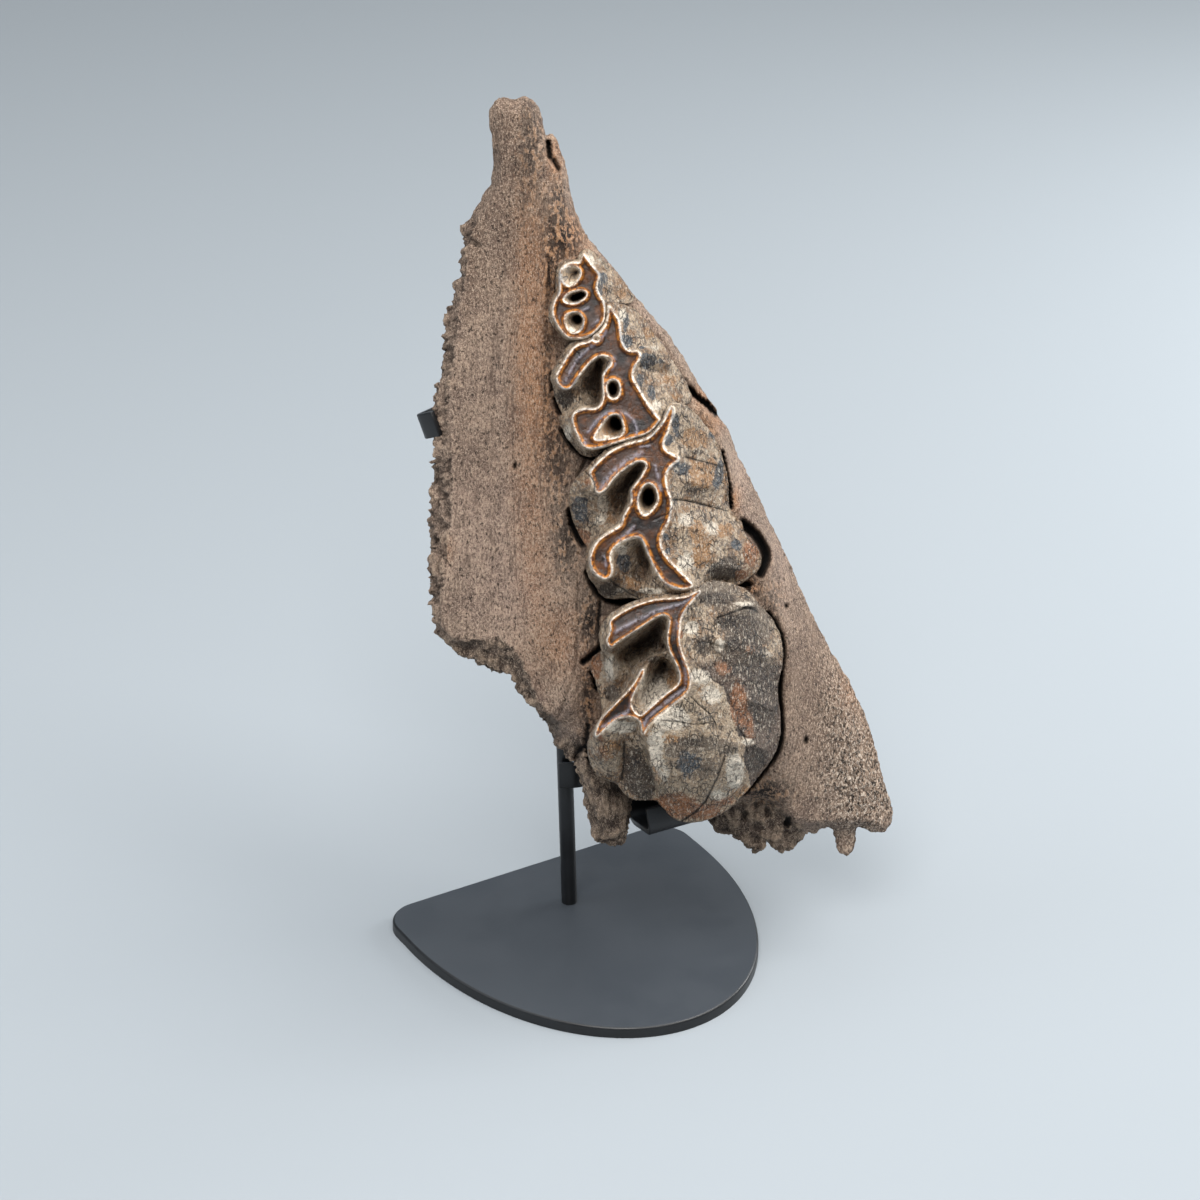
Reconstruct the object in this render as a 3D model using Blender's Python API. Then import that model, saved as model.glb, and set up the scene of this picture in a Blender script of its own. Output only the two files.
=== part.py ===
"""Half upper jaw of a woolly rhinoceros, with four cheek teeth, on a small black steel stand.

World frame: metres, +Z up. The origin is on the underside of the foot plate, below the rod.
The plate's straight edge is at the back (+Y) and its rounded front points to -Y.

The jaw has a frame of its own: u runs to the right across the palate, v runs up towards the
front end of the jaw, and w points out of the palate towards whoever looks at the teeth.
Outlines and sections of the jaw are written in millimetres in that frame.
"""
import math

import bmesh
import bpy
from mathutils import Matrix, Vector

MM = 0.001
GAP = 0.3

# Foot plate, in millimetres
PLATE_HALF_WIDTH = 52.5
PLATE_BACK = 24.5
PLATE_FRONT = -71.5
PLATE_BULGE_CENTRE = 5.0
PLATE_CORNER_RADIUS = 10.0
PLATE_THICKNESS = 3.5
PLATE_EDGE_ROUNDING = 0.9

# Rod, in millimetres
ROD_RADIUS = 2.4
ROD_HOLE_DEPTH = 2.3
ROD_LEAN = 0.025
ROD_BEND_HEIGHT = 82.0
ROD_TOP_V = 52.0
ROD_TOP_U = -13.5
ROD_TOP_W = -26.0

# Strips bent from flat bar, in millimetres
UPPER_STRIP = {"width": 7.4, "thickness": 1.6, "centre_v": 49.5}
LOWER_STRIP = {"width": 8.4, "thickness": 1.6, "centre_v": -58.6}
HOOK_STRIP = {"width": 18.0, "thickness": 1.8, "left_u": 9.5}
HOOK_BACK_W = -34.5
LOWER_ARM_HEIGHT = 50.0
ARM_LEAN_END_U = 6.0
ARM_LEAN_FADE = 9.0

# Where the jaw stands: its turn about the vertical, its lean to the rear, its frame's origin
JAW_TURN_DEG = -30.0
JAW_LEAN_DEG = 17.0
JAW_ORIGIN = (-0.9, -19.7, 116.4)

# Profiles of the bone along v, as (v, value) in millimetres, from the front end to the rear
LEFT_EDGE_U = [(140.5, -27), (136, -29.7), (128, -28.8), (118, -29.2), (111, -33.6), (102, -37.4),
               (88, -40.7), (80, -43.6), (64, -45), (40, -47.7), (6, -49), (-9, -47.5), (-14, -44.5),
               (-17, -41), (-20, -35), (-24, -27), (-30, -22), (-38, -15), (-45, -12), (-50, -7),
               (-56, -4), (-60.5, 24), (-65, 34), (-80, 38)]
RIGHT_EDGE_U = [(140.5, -19), (136, -16.2), (130, -12.6), (118, -8.2), (112, -6.9), (104, -4),
                (96, 1.3), (85, 11), (75, 20), (60, 28.5), (46, 37.5), (31, 44.3), (20, 49.4),
                (2, 57.5), (-10, 63), (-21, 69), (-38, 78), (-48, 81.5), (-60, 84.3), (-69, 87),
                (-80, 84)]
RIGHT_EDGE_W = [(140, -8), (112, -10), (96, -12), (75, -14.6), (46, -18), (20, -21.5), (-10, -25),
                (-38, -28), (-80, -28)]
SOCKET_LEFT_U = [(140, -26), (118, -25), (105, -15), (95, -15), (80, -17), (66, -15.5), (50, -13.5),
                 (35, -11), (20, -10), (8, -8), (-5, -6), (-20, -8), (-40, -6), (-55, 0), (-60.5, 28),
                 (-65, 38), (-80, 42)]
SOCKET_RIGHT_U = [(140, -21), (118, -11), (105, -7), (97, -1), (93, 4), (86, 9), (80, 17), (72, 24),
                  (62, 27.5), (52, 32), (42, 36), (30, 39), (24, 41), (18, 46), (11, 48.5), (2, 48.5),
                  (-8, 52.5), (-20, 55), (-44, 53), (-58, 46), (-64, 46), (-80, 50)]
BLOCK_BACK_W = [(140, -12.5), (118, -16), (105, -19), (85, -26), (65, -32), (45, -38), (20, -43),
                (-10, -47), (-40, -47), (-46, -42), (-52, -33), (-66, -31), (-80, -38)]
PALATE_FRONT_W = [(140, -3), (110, -5), (80, -6), (0, -6), (-60, -8), (-80, -12)]
STATIONS_V = [140.5, 136, 129, 121, 113, 105, 97, 89, 81, 73, 64, 55, 46, 37, 28, 19, 10, 1, -7, -13,
              -18, -24, -31, -39, -46, -52, -58, -63, -68, -73, -78]
PLATE_OF_BONE = 12.0
CHEEK_WALL = 8.0

# The broken pillar left of the molar and the peg at the rear end: (u, v, w, half widths in u and w)
PILLAR_RINGS = [(2.0, -50, -17, 6.0, 9.0), (2.2, -62, -17, 5.8, 8.5), (3.2, -70, -17, 4.6, 7.0),
                (4.6, -75, -17, 2.6, 4.5)]
PEG_RINGS = [(73.6, -68, -29, 4.2, 3.2), (73.4, -76, -29, 3.2, 3.0), (73.3, -83, -29, 1.9, 2.0)]

# Teeth: outline at the bone, outline of the chewing surface, height over and depth in the bone
TEETH = {
    "front_premolar": {
        "foot": [(-5, 98), (-10.8, 94), (-11, 89), (-13, 81), (-11.6, 77), (-8, 73.7), (-3, 74.2),
                 (2, 78), (5.5, 86), (3.5, 92), (-1.5, 97.2)],
        "top": [(-5.4, 97.5), (-1.5, 96), (0.5, 92.5), (-0.3, 88), (1.2, 84), (0.6, 80), (-2.8, 76.5),
                (-7.8, 76), (-11.4, 79), (-12.6, 82), (-11, 88), (-10, 93.5)],
        "height": 11.0, "depth": 9.0, "pit": (-5.2, 86.5)},
    "middle_premolar": {
        "foot": [(-11, 70), (-12.5, 64), (-12, 58), (-10.5, 50), (-7, 44), (-3, 41.6), (8, 44.6),
                 (18, 49), (26, 51.5), (28.3, 53.5), (28, 58), (25, 63), (20.5, 72), (14, 80),
                 (9, 84.5), (6.9, 81.5), (3.2, 76.2), (-4, 72.6), (-8, 71.6)],
        "top": [(3.6, 83), (5.6, 78), (10.6, 70.8), (9.2, 67.5), (11.3, 61.4), (13.6, 56.5), (9.4, 51),
                (-2.4, 45), (-6.7, 47.6), (-10.3, 54), (-11.6, 64.5), (-4, 73.4), (1.2, 76.4)],
        "height": 17.0, "depth": 13.0, "pit": (0.5, 62)},
    "rear_premolar": {
        "foot": [(-3.5, 38), (-7, 34), (-8, 28), (-6.5, 20), (-4, 12), (-1, 7), (4, 4), (12, 2.7),
                 (20, 3.6), (30, 4.7), (39, 5.2), (44, 9), (45.3, 12), (40.5, 20.5), (36.3, 26),
                 (36.2, 33), (34.3, 42), (31.5, 47.2), (26, 48.8), (18, 46.3), (8, 41.8), (2, 39.6)],
        "top": [(19.6, 50.5), (17.4, 45.4), (20.8, 42.6), (17.6, 37.8), (18.6, 25.8), (17, 17.8),
                (25, 8.4), (18.5, 7.2), (11, 5.6), (4, 7.4), (-0.1, 10), (-3.1, 16), (-7, 28.8),
                (-7.6, 34), (-3.2, 39.4), (7.8, 46), (14.2, 48.6)],
        "height": 22.0, "depth": 20.0, "pit": (6.5, 27)},
    "molar": {
        "foot": [(33, 2.9), (39, 2.4), (45, -2), (49.6, -8), (51.5, -21), (51, -34), (49, -44.5),
                 (40, -57.5), (34, -61.5), (24, -63.5), (20.7, -62.6), (12, -57.6), (5, -52.6),
                 (-3, -44.6), (-3.4, -36), (-2, -26), (-2, -14), (0, -5), (6, -0.2), (16, 1),
                 (26, 2.2)],
        "top": [(26.4, 6.6), (21.6, 1.7), (20.5, -8.4), (23.8, -16), (19.7, -21.6), (10.6, -28.2),
                (4, -31), (-3, -37.6), (-3, -30), (0.2, -18), (1.5, -6.3), (1.8, -1.6), (14.8, 4.6)],
        "height": 28.0, "depth": 28.0, "pit": (10, -10)},
}
TOOTH_RING = 26
ROOT_SCALE = 0.82
ROOT_DRIFT = 0.15
SOCKET_GAP = 0.6

# Colours (linear), roughness and metallic value of each material
FINISHES = {
    "fossil_bone": ((0.185, 0.118, 0.080), 0.85, 0.0),
    "tooth_enamel": ((0.420, 0.330, 0.240), 0.35, 0.0),
    "black_steel": ((0.012, 0.013, 0.015), 0.42, 0.6),
}


def clear_scene():
    for old in list(bpy.data.objects):
        bpy.data.objects.remove(old, do_unlink=True)


def finish(name):
    """A Principled material with the finish's colour, roughness and metallic value."""
    material = bpy.data.materials.get(name)
    if material is None:
        colour, roughness, metallic = FINISHES[name]
        material = bpy.data.materials.new(name)
        material.use_nodes = True
        shader = material.node_tree.nodes["Principled BSDF"]
        shader.inputs["Base Color"].default_value = (*colour, 1.0)
        shader.inputs["Roughness"].default_value = roughness
        shader.inputs["Metallic"].default_value = metallic
    return material


def jaw_matrix():
    """From the jaw's (u, v, w) in millimetres to the world in metres."""
    turn, lean = math.radians(JAW_TURN_DEG), math.radians(JAW_LEAN_DEG)
    out = Vector((math.sin(turn) * math.cos(lean), -math.cos(turn) * math.cos(lean), math.sin(lean)))
    right = Vector((math.cos(turn), math.sin(turn), 0.0))
    up = out.cross(right)
    columns = Matrix((right, up, out)).transposed()
    return Matrix.Translation(Vector(JAW_ORIGIN) * MM) @ columns.to_4x4() @ Matrix.Scale(MM, 4)


JAW = jaw_matrix()
TO_JAW = JAW.inverted()


def profile(points, v):
    """Value of a profile at v, with straight lines between its points."""
    for (v1, a), (v2, b) in zip(points, points[1:]):
        if v2 <= v <= v1:
            return a + (b - a) * (v1 - v) / (v1 - v2)
    return points[0][1] if v > points[0][0] else points[-1][1]


def between(a, b, share):
    return a + (b - a) * share


def new_object(name, mesh, material):
    for polygon in mesh.polygons:
        polygon.use_smooth = True
    mesh.materials.append(finish(material))
    made = bpy.data.objects.new(name, mesh)
    bpy.context.scene.collection.objects.link(made)
    return made


def loft(name, rings, material, placed=JAW):
    """A closed solid through rings of equal point count; each end is one flat or dished face."""
    shape = bmesh.new()
    rows = [[shape.verts.new(placed @ Vector(point)) for point in ring] for ring in rings]
    count = len(rows[0])
    for lower, upper in zip(rows, rows[1:]):
        for i in range(count):
            j = (i + 1) % count
            shape.faces.new((lower[i], lower[j], upper[j], upper[i]))
    shape.faces.new(list(reversed(rows[0])))
    shape.faces.new(rows[-1])
    bmesh.ops.recalc_face_normals(shape, faces=shape.faces)
    mesh = bpy.data.meshes.new(name)
    shape.to_mesh(mesh)
    shape.free()
    return new_object(name, mesh, material)


def boolean(target, other, operation):
    """A live Boolean of target with other, which is kept as a hidden guide."""
    other.hide_render = True
    other.display_type = "WIRE"
    step = target.modifiers.new(operation.lower(), "BOOLEAN")
    step.operation = operation
    step.solver = "EXACT"
    step.object = other


def bone_section(v):
    """One closed section of the bone at v, as (u, v, w) points, round the front and the back."""
    left, right = profile(LEFT_EDGE_U, v), profile(RIGHT_EDGE_U, v)
    right_w = profile(RIGHT_EDGE_W, v)
    socket_l = max(profile(SOCKET_LEFT_U, v), left + 4)
    socket_r = max(min(profile(SOCKET_RIGHT_U, v), right - 1.5), socket_l + 1)
    back, palate = profile(BLOCK_BACK_W, v), profile(PALATE_FRONT_W, v)
    width, flank = socket_l - left, right - socket_r
    plate = min(PLATE_OF_BONE, -back + palate)
    corner_l = between(socket_l, socket_r, 0.32)
    corner_r = socket_r + 0.2 * flank
    palate_back = palate - plate
    notch_w = between(right_w - CHEEK_WALL, back, 0.12)
    outline = [
        (left + min(4.3, 0.3 * width), palate + 0.5),
        (left + 0.40 * width, palate),
        (left + 0.72 * width, palate + 1.5),
        (socket_l, 0.8),
        (between(socket_l, socket_r, 0.5), 0.3),
        (socket_r, -2.0),
        (socket_r + 0.5 * flank, between(-2.0, right_w, 0.38)),
        (right, right_w),
        (right - 0.08 * flank - 0.8, max(right_w - CHEEK_WALL, back + 0.5)),
        (socket_r + 0.42 * flank, notch_w),
        (corner_r, back),
        (corner_l, back),
        (min(socket_l + 5, corner_l - 1), min(palate_back - 1.0, between(palate_back, back, 0.1))),
        (left + 0.5 * width, palate_back),
        (left + 1.5, palate_back + 1.0),
        (left + 0.4, palate - 0.45 * plate),
    ]
    return [(u, v, w) for u, w in outline]


def ellipse_rings(rings, count=12):
    turns = [2 * math.pi * i / count for i in range(count)]
    return [[(u + a * math.cos(t), v, w + b * math.sin(t)) for t in turns] for u, v, w, a, b in rings]


def around(outline, centre, count):
    """Points of an outline on evenly spread rays from a centre, so that outlines can be lofted."""
    cu, cv = centre
    found = []
    for i in range(count):
        angle = 2 * math.pi * i / count
        du, dv = math.cos(angle), math.sin(angle)
        reach = 0.0
        for (u1, v1), (u2, v2) in zip(outline, outline[1:] + outline[:1]):
            eu, ev = u2 - u1, v2 - v1
            det = du * ev - dv * eu
            if abs(det) < 1e-9:
                continue
            along = ((u1 - cu) * ev - (v1 - cv) * eu) / det
            share = ((u1 - cu) * dv - (v1 - cv) * du) / det
            if along > 0 and 0 <= share <= 1:
                reach = max(reach, along)
        found.append((cu + reach * du, cv + reach * dv))
    return found


def middle(outline):
    return (sum(u for u, _ in outline) / len(outline), sum(v for _, v in outline) / len(outline))


def scaled(ring, centre, factor, extra=0.0):
    """A ring scaled about its centre, then moved out by a plain distance."""
    result = []
    for u, v in ring:
        du, dv = (u - centre[0]) * factor, (v - centre[1]) * factor
        grow = 1.0 + extra / max(math.hypot(du, dv), 1e-6)
        result.append((centre[0] + du * grow, centre[1] + dv * grow))
    return result


def tooth_rings(tooth, extra=0.0):
    """Rings of a tooth's embedded part, from the root up to just over the bone."""
    centre = middle(tooth["foot"])
    foot = around(tooth["foot"], centre, TOOTH_RING)
    rings = []
    for share in (1.0, 0.5, 0.0):
        depth = (tooth["depth"] + extra) * share
        ring = scaled(foot, centre, between(1.0, ROOT_SCALE, share), extra)
        rings.append([(u + ROOT_DRIFT * depth, v, -depth) for u, v in ring])
    return rings


def make_tooth(name, tooth):
    centre = middle(tooth["foot"])
    top_centre = middle(tooth["top"])
    foot = around(tooth["foot"], centre, TOOTH_RING)
    top = around(tooth["top"], top_centre, TOOTH_RING)
    height = tooth["height"]
    rings = tooth_rings(tooth)
    for share in (0.35, 0.7):
        mixed = [(between(a[0], b[0], share), between(a[1], b[1], share)) for a, b in zip(foot, top)]
        rings.append([(u, v, height * share) for u, v in mixed])
    rings.append([(u, v, height) for u, v in top])
    basin = scaled(top, top_centre, 0.84)
    rings.append([(u, v, height - 1.2) for u, v in basin])
    pit = tooth["pit"]
    rings.append([(between(u, pit[0], 0.72), between(v, pit[1], 0.72), height * 0.55) for u, v in basin])
    return loft(name, rings, "tooth_enamel")


def make_sockets():
    """Cutters for the sockets: each tooth's embedded part, a little larger."""
    cutters = []
    for name, tooth in TEETH.items():
        rings = tooth_rings(tooth, SOCKET_GAP)
        mouth = [(u, v, 12.0) for u, v, _ in rings[-1]]
        cutters.append(loft("socket_of_" + name, rings + [mouth], "fossil_bone"))
    return cutters


def make_bone():
    """The bone: a smoothed loft with pillar and peg joined on, and the four sockets cut in."""
    bone = loft("maxilla_bone", [bone_section(v) for v in STATIONS_V], "fossil_bone")
    smooth = bone.modifiers.new("smooth", "SUBSURF")
    smooth.levels = 1
    smooth.render_levels = 1
    boolean(bone, loft("pillar", ellipse_rings(PILLAR_RINGS), "fossil_bone"), "UNION")
    boolean(bone, loft("peg", ellipse_rings(PEG_RINGS), "fossil_bone"), "UNION")
    for cutter in make_sockets():
        boolean(bone, cutter, "DIFFERENCE")
    return bone


def plate_outline(inset, arc_steps=44, corner_steps=6):
    """Outline of the D-shaped plate, moved inwards by inset: a long half ellipse and a straight back."""
    half, corner = PLATE_HALF_WIDTH - inset, PLATE_CORNER_RADIUS - inset
    back, front = PLATE_BACK - inset, PLATE_FRONT + inset
    start = PLATE_BULGE_CENTRE
    points = []
    for i in range(arc_steps + 1):
        angle = math.pi * i / arc_steps
        points.append((-half * math.cos(angle), start - (start - front) * math.sin(angle)))
    for side in (1, -1):
        for i in range(corner_steps + 1):
            angle = math.pi / 2 * i / corner_steps
            swing = angle if side == 1 else math.pi / 2 - angle
            points.append((side * (half - corner + corner * math.cos(swing)),
                           back - corner + corner * math.sin(swing)))
    return points


def make_plate():
    """The plate, its top edge rounded, with a blind hole for the rod."""
    top = PLATE_THICKNESS
    rounding = PLATE_EDGE_ROUNDING
    levels = [(0.25, 0.0), (0.0, 0.25), (0.0, top - rounding)]
    for i in range(1, 5):
        angle = math.pi / 2 * i / 4
        levels.append((rounding * (1 - math.cos(angle)), top - rounding + rounding * math.sin(angle)))
    rings = [[(x, y, z) for x, y in plate_outline(inset)] for inset, z in levels]
    plate = loft("stand_base_plate", rings, "black_steel", Matrix.Scale(MM, 4))
    plate.data.set_sharp_from_angle(angle=math.radians(50))
    hole = [(0.0, z, 0.0, ROD_RADIUS + GAP, ROD_RADIUS + GAP)
            for z in (top - ROD_HOLE_DEPTH, top + 5.0)]
    upright = Matrix.Rotation(math.pi / 2, 4, "X")
    cutter = loft("rod_hole", ellipse_rings(hole, 24), "black_steel", Matrix.Scale(MM, 4) @ upright)
    boolean(plate, cutter, "DIFFERENCE")
    return plate


def rod_route():
    """Middle line of the rod in metres: straight up, a soft bend, then along the bone's back."""
    foot = Vector((0.0, 0.0, PLATE_THICKNESS - ROD_HOLE_DEPTH + GAP)) * MM
    bend = Vector((-ROD_LEAN * ROD_BEND_HEIGHT, 0.0, ROD_BEND_HEIGHT)) * MM
    top = JAW @ Vector((ROD_TOP_U, ROD_TOP_V, ROD_TOP_W))
    soft = 14.0 * MM
    into = bend + (foot - bend).normalized() * soft
    out_of = bend + (top - bend).normalized() * soft
    route = [foot]
    for i in range(7):
        t = i / 6
        route.append(into * (1 - t) ** 2 + bend * 2 * t * (1 - t) + out_of * t ** 2)
    route.append(top)
    return route


def make_rod():
    """The round rod, a bevelled curve with filled ends."""
    curve = bpy.data.curves.new("stand_rod", "CURVE")
    curve.dimensions = "3D"
    curve.bevel_depth = ROD_RADIUS * MM
    curve.bevel_resolution = 6
    curve.use_fill_caps = True
    route = rod_route()
    spline = curve.splines.new("POLY")
    spline.points.add(len(route) - 1)
    for point, place in zip(spline.points, route):
        point.co = (*place, 1.0)
    curve.materials.append(finish("black_steel"))
    rod = bpy.data.objects.new("stand_rod", curve)
    bpy.context.scene.collection.objects.link(rod)
    return rod


def rounded(path, radius, steps=5):
    """A path of 2D points whose inner corners are replaced by soft bends."""
    result = [Vector(path[0])]
    for before, corner, after in zip(path, path[1:], path[2:]):
        before, corner, after = Vector(before), Vector(corner), Vector(after)
        reach = min(radius, 0.45 * (before - corner).length, 0.45 * (after - corner).length)
        into = corner + (before - corner).normalized() * reach
        out_of = corner + (after - corner).normalized() * reach
        for i in range(steps + 1):
            t = i / steps
            result.append(into * (1 - t) ** 2 + corner * 2 * t * (1 - t) + out_of * t ** 2)
    result.append(Vector(path[-1]))
    return result


def strip_outline(path, thickness):
    """Closed outline of a bent flat strip of a given thickness along a 2D path."""
    left, right = [], []
    for i, point in enumerate(path):
        before, after = path[max(i - 1, 0)], path[min(i + 1, len(path) - 1)]
        along = (after - before).normalized()
        across = Vector((-along.y, along.x)) * thickness / 2
        left.append(point + across)
        right.append(point - across)
    return left + right[::-1]


def make_arm(name, path, strip, bend, lean=0.0):
    """A flat strip bent in the jaw's u-w plane, its width along v; lean tips its left part."""
    outline = strip_outline(rounded(path, bend), strip["thickness"])
    half = strip["width"] / 2
    rings = []
    for side in (half, -half):
        tips = [side * lean * min(max((ARM_LEAN_END_U - p.x) / ARM_LEAN_FADE, 0.0), 1.0) for p in outline]
        rings.append([(p.x, strip["centre_v"] + side, p.y + tip) for p, tip in zip(outline, tips)])
    arm = loft(name, rings, "black_steel")
    arm.data.set_sharp_from_angle(angle=math.radians(40))
    return arm


def make_upper_arm():
    """From the rod's front to the left behind the palate, then folded forwards onto the suture."""
    behind = ROD_TOP_W + ROD_RADIUS + GAP + UPPER_STRIP["thickness"] / 2
    path = [(ROD_TOP_U + 1.0, behind), (-44.0, behind), (-51.3, -15.0), (-45.9, -8.6)]
    return make_arm("stand_upper_arm", path, UPPER_STRIP, 3.2)


def make_lower_arm():
    """Folded round the rod's front at its left end, then to the right behind the bone."""
    half = LOWER_STRIP["thickness"] / 2
    rod = TO_JAW @ (Vector((-ROD_LEAN * LOWER_ARM_HEIGHT, 0.0, LOWER_ARM_HEIGHT)) * MM)
    reach = ROD_RADIUS + GAP + 0.5 + half
    hook_back = HOOK_BACK_W - HOOK_STRIP["thickness"] / 2 - GAP - half
    path = [(rod.x - reach, rod.z - 2.6), (rod.x - reach, rod.z + reach), (rod.x + reach, rod.z + reach),
            (rod.x + reach + 3.0, hook_back), (ARM_LEAN_END_U + 2.6, hook_back), (27.0, hook_back)]
    return make_arm("stand_lower_arm", path, LOWER_STRIP, 2.4, math.tan(math.radians(JAW_LEAN_DEG)))


def make_hook():
    """The wide J under the bone: a back wall, a round bottom and a lower front wall."""
    path = [(-54.5, HOOK_BACK_W), (-72.5, HOOK_BACK_W + 1.5), (-72.5, -9.5), (-64.6, -8.6)]
    outline = strip_outline(rounded(path, 9.0, 8), HOOK_STRIP["thickness"])
    left = HOOK_STRIP["left_u"]
    rings = [[(u, p.x, p.y) for p in outline] for u in (left, left + HOOK_STRIP["width"])]
    hook = loft("stand_saddle_hook", rings, "black_steel")
    hook.data.set_sharp_from_angle(angle=math.radians(40))
    return hook


clear_scene()
make_plate()
make_rod()
make_upper_arm()
make_lower_arm()
make_hook()
make_bone()
for tooth_name, tooth_shape in TEETH.items():
    make_tooth(tooth_name, tooth_shape)
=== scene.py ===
# %% [markdown]
# # A woolly rhinoceros jaw on its stand
#
# The subject is one half of a fossil upper jaw with four worn cheek teeth, held up by a small
# black steel stand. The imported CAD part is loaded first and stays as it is: it gives every piece
# its place and its size. The pieces made below are laid over it, in metres, with +Z up.

# %% Load the frame
import math

import bpy
import numpy as np
from mathutils import Matrix, Vector, noise
from mathutils.geometry import delaunay_2d_cdt


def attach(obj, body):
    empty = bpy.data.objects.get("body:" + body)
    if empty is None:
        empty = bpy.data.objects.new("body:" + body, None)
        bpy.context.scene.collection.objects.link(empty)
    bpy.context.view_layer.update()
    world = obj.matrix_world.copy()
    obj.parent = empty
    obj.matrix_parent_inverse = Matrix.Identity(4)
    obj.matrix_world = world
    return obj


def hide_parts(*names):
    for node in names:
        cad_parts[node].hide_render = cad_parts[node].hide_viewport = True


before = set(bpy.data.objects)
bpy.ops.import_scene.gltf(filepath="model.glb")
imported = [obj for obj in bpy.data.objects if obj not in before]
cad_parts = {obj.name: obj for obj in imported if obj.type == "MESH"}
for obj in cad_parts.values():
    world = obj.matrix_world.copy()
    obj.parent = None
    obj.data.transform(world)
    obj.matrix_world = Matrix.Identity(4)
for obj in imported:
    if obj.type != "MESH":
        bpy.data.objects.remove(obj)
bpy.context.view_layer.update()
MM = 0.001
print("nodes:", ", ".join(sorted(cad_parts)))

# %% [markdown]
# ## The camera comes first
#
# An 85 mm lens looks down at the jaw by 27 degrees, from 31 degrees to the left of its front.
# The foot of the stand's rod is known in the picture and in the model, so it ties the two
# together: from its pixel and its distance follows the place of the camera. A picture is
# 1200 pixels wide and high here, and a place in it is written as (x, y), with y going down.

# %% Camera
IMAGE_SIZE = 1200
LENS_MM = 85.0
SENSOR_MM = 36.0
VIEW_AZIMUTH_DEG = -31.0
VIEW_ELEVATION_DEG = 27.0
ROD_FOOT_MM = (0.0, 0.0, 3.5)
ROD_FOOT_PIXEL = (569.5, 901.0)
ROD_FOOT_DEPTH_MM = 873.0
FOCAL_PIXELS = LENS_MM / SENSOR_MM * IMAGE_SIZE

azimuth = math.radians(VIEW_AZIMUTH_DEG)
elevation = math.radians(VIEW_ELEVATION_DEG)
to_camera = np.array([math.sin(azimuth) * math.cos(elevation),
                      -math.cos(azimuth) * math.cos(elevation), math.sin(elevation)])
VIEW_RIGHT = np.array([math.cos(azimuth), math.sin(azimuth), 0.0])
VIEW_UP = np.cross(to_camera, VIEW_RIGHT)


def view_rays(x, y):
    """The direction of the line of sight through pixels; its depth part is 1."""
    half = IMAGE_SIZE / 2
    across = (np.asarray(x, float)[..., None] - half) / FOCAL_PIXELS
    down = (np.asarray(y, float)[..., None] - half) / FOCAL_PIXELS
    return -to_camera + across * VIEW_RIGHT - down * VIEW_UP


CAMERA_MM = np.array(ROD_FOOT_MM) - view_rays(*ROD_FOOT_PIXEL) * ROD_FOOT_DEPTH_MM
camera_data = bpy.data.cameras.new("view")
camera_data.lens = LENS_MM
camera_data.sensor_width = SENSOR_MM
camera_data.sensor_fit = "HORIZONTAL"
camera = bpy.data.objects.new("view", camera_data)
facing = Matrix((VIEW_RIGHT, VIEW_UP, to_camera)).transposed().to_4x4()
camera.matrix_world = Matrix.Translation(Vector(CAMERA_MM) * MM) @ facing
bpy.context.scene.collection.objects.link(camera)
bpy.context.scene.camera = camera
print("camera at", np.round(CAMERA_MM, 1), "mm")

# %% [markdown]
# ## The jaw's own axes
#
# The jaw leans back and is turned to face the camera. Its own frame makes heights simple:
# u runs to the right across the palate, v runs up to the front end of the jaw, and w comes out
# of the palate towards the viewer. A surface point is then a pixel and a height w: it lies
# where the line of sight meets the plane at that height. This keeps every outline where it is
# seen, and leaves the height free for modelling.

# %% Jaw axes
JAW_TURN_DEG = -30.0
JAW_LEAN_DEG = 17.0
JAW_ORIGIN_MM = np.array([-0.9, -19.7, 116.4])

jaw_turn, jaw_lean = math.radians(JAW_TURN_DEG), math.radians(JAW_LEAN_DEG)
JAW_OUT = np.array([math.sin(jaw_turn) * math.cos(jaw_lean), -math.cos(jaw_turn) * math.cos(jaw_lean),
                    math.sin(jaw_lean)])
JAW_RIGHT = np.array([math.cos(jaw_turn), math.sin(jaw_turn), 0.0])
JAW_UP = np.cross(JAW_OUT, JAW_RIGHT)


def on_jaw(x, y, w):
    """World places in millimetres of pixels at heights w over the jaw's plane."""
    rays = view_rays(x, y)
    reach = ((JAW_ORIGIN_MM - CAMERA_MM) @ JAW_OUT + np.asarray(w, float)) / (rays @ JAW_OUT)
    return CAMERA_MM + rays * reach[..., None]


def jaw_to_world(u, v, w):
    return JAW_ORIGIN_MM + u * JAW_RIGHT + v * JAW_UP + w * JAW_OUT


def pixel_of(places):
    """The pixels where world places in millimetres are seen."""
    sight = np.atleast_2d(places) - CAMERA_MM
    depth = -(sight @ to_camera)
    half = IMAGE_SIZE / 2
    x = half + FOCAL_PIXELS * (sight @ VIEW_RIGHT) / depth
    y = half - FOCAL_PIXELS * (sight @ VIEW_UP) / depth
    return x, y


print("pixels per mm at the jaw:", round(float(pixel_of(jaw_to_world(10, 0, 0))[0][0]
                                             - pixel_of(jaw_to_world(0, 0, 0))[0][0]) / 10, 2))

# %% [markdown]
# ## Tools for outlines
#
# A few small questions come back for every piece: how far a point is from a line, whether it is
# inside an outline, which way round the outline runs, and where evenly spread points along a
# line would lie.

# %% Outline tools
def segments(line, closed):
    points = np.array([point[:2] for point in line], float)
    ends = np.roll(points, -1, axis=0) if closed else points[1:]
    return (points if closed else points[:-1]), ends


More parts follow.
